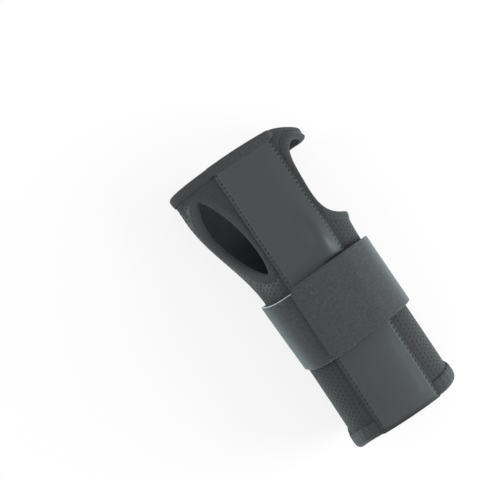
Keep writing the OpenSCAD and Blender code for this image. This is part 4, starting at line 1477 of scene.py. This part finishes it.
# Painted light: the hem is lighter on its little finger side, where the light falls
painted_light_side = ease((PAINTED_LIGHT_FROM - to_palm) / PAINTED_LIGHT_FROM_FADE) * ease((to_palm - PAINTED_LIGHT_TO) / PAINTED_LIGHT_TO_FADE)
pull = PAINTED_LIGHT_SHARE * painted_light_side[:, None] * ease(e / HEM_W) * (d > MESH_T / 2)
swept("cuff_hem_fold", e, hem_places(e, share[:, None]), d,
      cloth_map(edge_l[:, None], e, HEM_W - e + EDGE_MARGIN), hem_finish, "cuff_hem",
      closed=False, pull=pull)

# %% [markdown]
# ## The strap
# One wide strap is sewn to the panel, goes round the little finger side and the back, and comes
# over the panel again from the thumb side. It is two pieces here: the part that stays, and the
# tail that peels off. A cloth simulation would let it sag, so both are laid on the surface by
# formula. The fixed part stands off the mesh behind the bend, has slipped a little to the cuff
# beside the tail's end, and is painted paler along its free edges.

# %% Fixed part of the strap
STRAP_T, STRAP_LIP, STRAP_STEP = 1.6, 0.3, 2.0
STRAP_SEWN, TAIL_REACH, BEND_AT, JOIN = 12.0, 21.5, 46.0, 9.0
STRAP_ROWS, ROUGH_LEN = 110, 160.0
TAUT_FROM, TAUT_LEN = 3.5, 21.0
STAND_OFF, SETTLE_LEN = 2.2, 26.0
STRAP_FLARE, FLARE_LEN = 1.6, 3 * SETTLE_LEN
SLANT, SLANT_SETTLE = 1.3, 50.0
SLIP, SLIP_MID, SLIP_TURN = 3.6, 0.75, 0.5
SLIP_FROM, SLIP_FROM_FADE, SLIP_TO, SLIP_TO_FADE = 52.0, 26.0, 6.0, 22.0
# The cuff side edge is painted less pale, and under the tail neither is
LESS_PALE, NOT_PALE, NOT_PALE_FADE = 0.4, 3.0, 6.0


def taut_over(a):
    """Height of the fabric under the strap, which is too tight to follow the step at the panel's edge."""
    return mix(COVER_TOP, MESH_T, ease((a - PANEL_HALF - TAUT_FROM) / TAUT_LEN))


def settled(run):
    """How far the strap still stands off at a run behind the bend."""
    return STAND_OFF * (1.0 - ease(run / SETTLE_LEN))


def slip(l, v):
    """How far the fixed part has slipped to the cuff beside the end of the tail."""
    most = SLIP * (SLIP_MID + SLIP_TURN * v / STRAP_W)
    return most * ease((l + SLIP_FROM) / SLIP_FROM_FADE) * ease((SLIP_TO - l) / SLIP_TO_FADE)


v_cols = columns(-STRAP_W / 2, STRAP_W / 2, STRAP_STEP, STRAP_LIP)
F, V = grid(columns(0.0, 1.0, 1.0 / STRAP_ROWS, STRAP_LIP / ROUGH_LEN, soft_end=False), v_cols)
full = girth(STRAP_AT + V)
meets_tail = BEND_AT + JOIN - full
l = mix(STRAP_SEWN, meets_tail, F)
e = np.minimum(STRAP_W / 2 - np.abs(V), STRAP_SEWN - l)
flare = ease((-l - TAIL_REACH) / SETTLE_LEN) * ease((l + TAIL_REACH + FLARE_LEN) / SETTLE_LEN)
lift = settled(l - (BEND_AT - full)) + STRAP_FLARE * flare * (V + STRAP_W / 2) / STRAP_W
middle = taut_over(np.minimum(np.abs(l), full + l)) + SEAM_GAP + lift + STRAP_T / 2
half = STRAP_T / 2 * lip(e, STRAP_LIP)
s = STRAP_AT + V + SLANT * (1.0 - ease((l - meets_tail) / SLANT_SETTLE)) - slip(l, V)
# Distance to the free edges that are painted paler
pale_edge = np.minimum(STRAP_W / 2 - V, STRAP_W / 2 + V + LESS_PALE)
pale_edge = pale_edge + NOT_PALE * ease((l + TAIL_REACH) / NOT_PALE_FADE)
sheet("strap_base_webbing", s, l, middle + half, middle - half, pale_edge,
      strap_finish, "splint", "strap_base", square_end=True)

# %% [markdown]
# ## The tail
# The tail lies over the fixed part with its hooks between them and has two rounded corners. It
# meets the fixed part square, a little behind the bend. Two points either side of the bend are
# worked out for a blend from one body to the other, but nothing here uses them.

# %% Tail of the strap
HOOK_T, HOOK_MARGIN, TAIL_GAP, DROP_LEN = 0.8, 2.5, 0.35, 14.0
STRAP_LOW = COVER_TOP + SEAM_GAP
HOOK_LOW = STRAP_LOW + STRAP_T + TAIL_GAP
TAIL_LOW = HOOK_LOW + HOOK_T + SEAM_GAP
BEND_LOW = MESH_T + SEAM_GAP + STAND_OFF
TAIL_STEP, TAIL_CORNER, CORNER_ROWS, SAME_ROW = 1.3, 5.0, 9, 4
SLANT_MID, SLANT_LEN, BLEND = 8.0, 30.0, 8.5
# Distance that keeps the pale rim off the tail, and the part of its lip that counts as cut edge
TAIL_MARGIN, CUT_PART = 2.0, 0.7


def tail_height(l):
    over = mix(TAIL_LOW, BEND_LOW, ease((l - STRAP_SEWN - HOOK_MARGIN) / DROP_LEN))
    behind = outer_at(l) + SEAM_GAP + settled(l - BEND_AT)
    return np.where(l <= BEND_AT, over, behind)


def slant(l):
    """How far the tail lies towards the finger end at l, because it is wrapped a little askew."""
    return SLANT * np.clip((l - SLANT_MID) / SLANT_LEN, -1.0, 1.0)


corner_rows = TAIL_CORNER * (1 - np.cos(np.linspace(0.0, 0.5 * math.pi, CORNER_ROWS))) - TAIL_REACH
l_rows = columns(-TAIL_REACH, BEND_AT + JOIN, TAIL_STEP, STRAP_LIP, soft_end=False)
L, V = grid(np.unique(np.concatenate([l_rows, corner_rows]).round(SAME_ROW)), v_cols)
into_corner = np.maximum(0.0, TAIL_CORNER - TAIL_REACH - L)
drawn_in = TAIL_CORNER - np.sqrt(np.maximum(TAIL_CORNER ** 2 - into_corner ** 2, 0.0))
narrow = 1.0 - 2.0 * drawn_in / STRAP_W
e = np.minimum((STRAP_W / 2 - np.abs(V)) * narrow, L + TAIL_REACH)
middle = tail_height(L) + STRAP_T / 2
half = STRAP_T / 2 * lip(e, STRAP_LIP)
tail = sheet("strap_tail_webbing", STRAP_AT + V * narrow + slant(L), L, middle + half, middle - half,
             e + TAIL_MARGIN, strap_finish, None, "strap_tail", square_end=True)
tail.data.materials.append(cut_and_shade_finish.material)
inset = np.zeros(3 * len(tail.data.vertices), np.float32)
tail.data.attributes["cloth"].data.foreach_get("vector", inset)
# Faces on the lip take the cut edge finish, with its painted shade
for polygon in tail.data.polygons:
    if np.mean(inset[2::3][list(polygon.vertices)]) < TAIL_MARGIN + CUT_PART * STRAP_LIP:
        polygon.material_index = 1
blend_from, blend_to = (on(STRAP_AT, BEND_AT + way, BEND_LOW + STRAP_T).ravel() for way in (BLEND, -BLEND))
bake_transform(tail)

# %% [markdown]
# ## Hook tab
# Under the free end is a patch of hook tape: a thin sheet with rows of tiny bent hooks that
# catch in the brushed face of the strap. The sheet is laid out as the strap is.

# %% Hook tab
HOOK_LEN, HOOK_SHEET_T, HOOK_LIP, HOOK_STEP_L, HOOK_STEP_V = 26.0, 0.4, 0.3, 1.5, 2.0
hook_half = STRAP_W / 2 - HOOK_MARGIN
hook_start = HOOK_MARGIN - TAIL_REACH
hook_end = hook_start + HOOK_LEN
hook_high = HOOK_LOW + HOOK_T
L, V = grid(columns(hook_start, hook_end, HOOK_STEP_L, HOOK_LIP),
            columns(-hook_half, hook_half, HOOK_STEP_V, HOOK_LIP))
e = np.minimum(hook_half - np.abs(V), np.minimum(L - hook_start, hook_end - L))
half = HOOK_SHEET_T / 2 * lip(e, HOOK_LIP)
middle = hook_high - HOOK_SHEET_T / 2
sheet("hook_tab_sheet", STRAP_AT + V + slant(L), L, middle + half, middle - half, e,
      hook_finish, "strap_tail", "hook_tab")

# %% [markdown]
# ## Hooks
# Hundreds of equal hooks call for instances. Geometry Nodes bend one small wire and put a copy
# on each point of a grid under the sheet, turned to point away from it.

# %% Hooks by Geometry Nodes
HOOK_PITCH, HOOK_FIRST, HOOK_LAST, ROOT_SINK = 1.5, 1.2, 0.8, 0.05
HOOK_HIGH, HOOK_WIRE, HOOK_BENT = 0.62, 0.09, 0.7
WIRE_STEPS, WIRE_SIDES = 4, 4


def up_at(s, l):
    """Directions square to the surface."""
    v = on(s, l, 1.0) - on(s, l, 0.0)
    return v / np.linalg.norm(v, axis=-1, keepdims=True)


def seeds(name, points, up, edges=()):
    """An object of loose points or lines, each point with the direction that is up there."""
    mesh = bpy.data.meshes.new(name)
    mesh.from_pydata(points.tolist(), list(edges), [])
    set_attribute(mesh, "up", up)
    return add_object(name, mesh)


hook_tree, new, given = tree_with("hook rows", Hook_height=FLOAT, Wire=FLOAT, Finish=MATERIAL)
reach = maths(hook_tree, "MULTIPLY", given["Hook height"], HOOK_BENT)
wire = new("GeometryNodeCurveQuadraticBezier", {
    "Resolution": WIRE_STEPS, "Start": (0.0, 0.0, 0.0),
    "Middle": new("ShaderNodeCombineXYZ", {"Z": given["Hook height"]}),
    "End": new("ShaderNodeCombineXYZ", {"X": reach, "Z": reach})})
ring = new("GeometryNodeCurvePrimitiveCircle", {"Resolution": WIRE_SIDES, "Radius": given["Wire"]})
hook = new("GeometryNodeCurveToMesh", {"Curve": wire, "Profile Curve": ring, "Fill Caps": True})
facing = new("GeometryNodeInputNamedAttribute", {"Name": "up"}, data_type="FLOAT_VECTOR")
turned = new("FunctionNodeAlignRotationToVector", {"Vector": facing}, axis="Z")
stuck = new("GeometryNodeInstanceOnPoints",
            {"Points": given["Geometry"], "Instance": hook, "Rotation": turned})
end_tree(hook_tree, stuck, (given["Finish"], True))

L, V = (x.ravel() for x in grid(np.arange(hook_start + HOOK_FIRST, hook_end - HOOK_LAST, HOOK_PITCH),
                                np.arange(HOOK_FIRST - hook_half, hook_half - HOOK_LAST, HOOK_PITCH)))
S = STRAP_AT + V + slant(L)
roots = seeds("hook roots", on(S, L, hook_high - HOOK_SHEET_T + ROOT_SINK), -up_at(S, L))
hooks = run_tree(roots, hook_tree, Hook_height=HOOK_HIGH * MM, Wire=HOOK_WIRE * MM,
                 Finish=hook_finish.material)
smooth_faces(hooks)
add_piece("hook_tab_hooks", hooks, "strap_tail")

# %% [markdown]
# ## Stitches
# Thread lies on the surface between one needle hole and the next, so a seam is a row of short
# rounded bars. An array along a curve would roll over on the bent surface. Each seam is drawn
# as a line instead, and one tree of Geometry Nodes walks along it and lays a bar at every
# stitch, turned to the surface and to the line.

# %% Stitch tree
BAR_SIDES, BAR_RINGS = 6, 5

stitch_tree, new, given = tree_with("stitch rows", Pitch=FLOAT, Bar_length=FLOAT, Thread=FLOAT,
                                    Finish=MATERIAL)
lines = new("GeometryNodeMeshToCurve", {"Mesh": given["Geometry"]})
walk = new("GeometryNodeResampleCurve", {"Curve": lines, "Length": given["Pitch"]}, mode="LENGTH")
bar = new("GeometryNodeMeshUVSphere", {"Segments": BAR_SIDES, "Rings": BAR_RINGS, "Radius": 1.0})
half_bar = maths(stitch_tree, "MULTIPLY", given["Bar length"], 0.5)
size = new("ShaderNodeCombineXYZ", {"X": half_bar, "Y": given["Thread"], "Z": given["Thread"]})
facing = new("GeometryNodeInputNamedAttribute", {"Name": "up"}, data_type="FLOAT_VECTOR")
stood_up = new("FunctionNodeAlignRotationToVector", {"Vector": facing}, axis="Z")
heading = new("GeometryNodeInputTangent")
turned = new("FunctionNodeAlignRotationToVector", {"Rotation": stood_up, "Vector": heading},
             axis="X", pivot_axis="Z")
laid = new("GeometryNodeInstanceOnPoints",
           {"Points": walk, "Instance": bar, "Rotation": turned, "Scale": size})
end_tree(stitch_tree, laid, (given["Finish"], True))
print("nodes of the stitch tree:", len(stitch_tree.nodes))

# %% [markdown]
# ## Seams of the panel
# A seam is drawn as a line on the surface before it is sewn. One object for each seam would do,
# but they all ride on one body and share one thread, so the lines are gathered in lists. Each
# has a tone, from dark to pale. The two along the panel come first, in the groove of the cover.

# %% Seams of the panel
THREAD, PANEL_TONE = 0.25, 0.1
PANEL_SEAM_STEP, PANEL_SEAM_FROM, PANEL_SEAM_SUNK = 0.55, 1.5, 0.12
seam_points, seam_up, seam_edges, seam_tones = [], [], [], []


def add_seam(s, l, d, tone, closed=False):
    s, l, d = np.broadcast_arrays(s, l, d)
    start = sum(len(p) for p in seam_points)
    places = on(s, l, d)
    places[:, 2] = np.maximum(places[:, 2], THREAD * MM)
    seam_points.append(places)
    seam_up.append(up_at(s, l))
    seam_tones.append(np.full(len(s), tone))
    seam_edges.extend((start + i, start + i + 1) for i in range(len(s) - 1))
    if closed:
        seam_edges.append((start + len(s) - 1, start))


panel_s = np.arange(PANEL_SEAM_FROM * STITCH, PANEL_END - FINGER_BAND, PANEL_SEAM_STEP)
for side in (-1, 1):
    add_seam(panel_s, side * SEAM_AT, COVER_TOP - GROOVE_DEEP - PANEL_SEAM_SUNK, PANEL_TONE)
print("points on the panel's seams:", sum(len(p) for p in seam_points))

# %% [markdown]
# ## Seams of the tapes and the strap
# Seams also run round both openings, along the hem and the finger edge, and in a box on the
# strap's sewn end. Whole loops would run into the panel and the finger tape, so the stretches
# that nothing covers are found first, and each is a line.

# %% Seams of the tapes and the strap
TAPE_SEAM_STEP, TAPE_SEAM_IN, TAPE_SEAM_ROOM, LEAST_POINTS = 0.8, 1.6, 0.3, 8
HEM_SEAM_IN, HEM_SEAM_RAISED, HEM_SEAM_COUNT, HEM_SEAM_END = 1.7, 0.2, 260, 0.03
FINGER_SEAM_IN, FINGER_SEAM_COUNT, SUNK = 1.5, 300, 0.05
BOX_HALF, BOX_FROM, BOX_TO, BOX_SUNK, BOX_COUNT = 22.5, 3.0, 10.0, 0.02, 40
TAPE_TONE, BOX_TONE, HEM_TONE = 0.2, 0.6, 1.0


def stretches(mask):
    """The slices of a mask in which it holds without a break."""
    ends = np.flatnonzero(np.diff(np.concatenate([[0], mask.astype(int), [0]])))
    return [slice(a, b) for a, b in zip(ends[::2], ends[1::2])]


tape_d = MESH_T + (SEAM_GAP + TAPE_T) * thinned(TAPE_SEAM_IN, TAPE_THIN) - SUNK
for opening in OPENINGS:
    edge, out = rim_places(opening, TAPE_SEAM_STEP, TAPE_W)
    line_l, line_s = (edge + (TAPE_W - TAPE_SEAM_IN) * out).T
    clear = (np.abs(line_l) > PANEL_EDGE + TAPE_SEAM_ROOM) & (line_s < SPLINT_LEN - FINGER_BAND)
    for part in stretches(clear):
        if part.stop - part.start > LEAST_POINTS:
            add_seam(line_s[part], line_l[part], tape_d, TAPE_TONE, closed=bool(clear.all()))

hem_s = HEM_W - HEM_SEAM_IN
hem_share = np.linspace(HEM_SEAM_END, 1.0 - HEM_SEAM_END, HEM_SEAM_COUNT)
add_seam(hem_s, hem_places(hem_s, hem_share), MESH_T + SEAM_GAP + HEM_T + HEM_SEAM_RAISED, HEM_TONE)

finger_s = SPLINT_LEN - FINGER_BAND + FINGER_SEAM_IN
finger_l = np.linspace(0.0, girth(finger_s) - STITCH, FINGER_SEAM_COUNT)
finger_d = outer_at(np.minimum(finger_l, girth(finger_s) - finger_l))
finger_d = finger_d + SEAM_GAP + TAPE_T * thinned(FINGER_SEAM_IN, FINGER_THIN) - SUNK
for part in stretches(np.abs(finger_l - WEB_MID) > THUMB["near"] + WEB_STEP):
    add_seam(finger_s, finger_l[part], finger_d[part], TAPE_TONE)

box_low, box_high = STRAP_AT - BOX_HALF, STRAP_AT + BOX_HALF
box = box_line([(box_low, BOX_FROM), (box_high, BOX_FROM), (box_high, BOX_TO), (box_low, BOX_TO)],
               lambda a, b: BOX_COUNT)
add_seam(*box.T, STRAP_LOW + STRAP_T - BOX_SUNK, BOX_TONE, closed=True)
print("seam lines:", len(seam_points))

# %% [markdown]
# ## Sewing
# All lines now go into one object, and the tree sews them in one run. A curve with a bevel would
# draw an unbroken cord, where a seam has a gap at each needle hole.

# %% Sew the seams
BAR_LEN = 2.3

seams = seeds("seam lines", np.concatenate(seam_points), np.concatenate(seam_up), seam_edges)
set_attribute(seams.data, "tone", np.concatenate(seam_tones))
stitches = run_tree(seams, stitch_tree, Pitch=STITCH * MM, Bar_length=BAR_LEN * MM, Thread=THREAD * MM,
                    Finish=thread_finish.material)
smooth_faces(stitches)
add_piece("splint_stitches", stitches, "splint")

# %% [markdown]
# ## The stay
# The stay and its two dipped caps are rigid and keep their CAD shape. They only need their real
# finishes, brushed aluminium and soft black vinyl, which show when the stay is pulled out.

# %% Rigid pieces
for node, finish in (("palmar_stay", metal_finish), ("stay_tip_distal", vinyl_finish),
                     ("stay_tip_proximal", vinyl_finish)):
    mesh = frame["nodes"][node].data
    mesh.materials.clear()
    mesh.materials.append(finish.material)
    print(node, "in", finish.material.name)

# %% [markdown]
# ## Sizes
# The dressed splint may stand only a little proud of the CAD model.
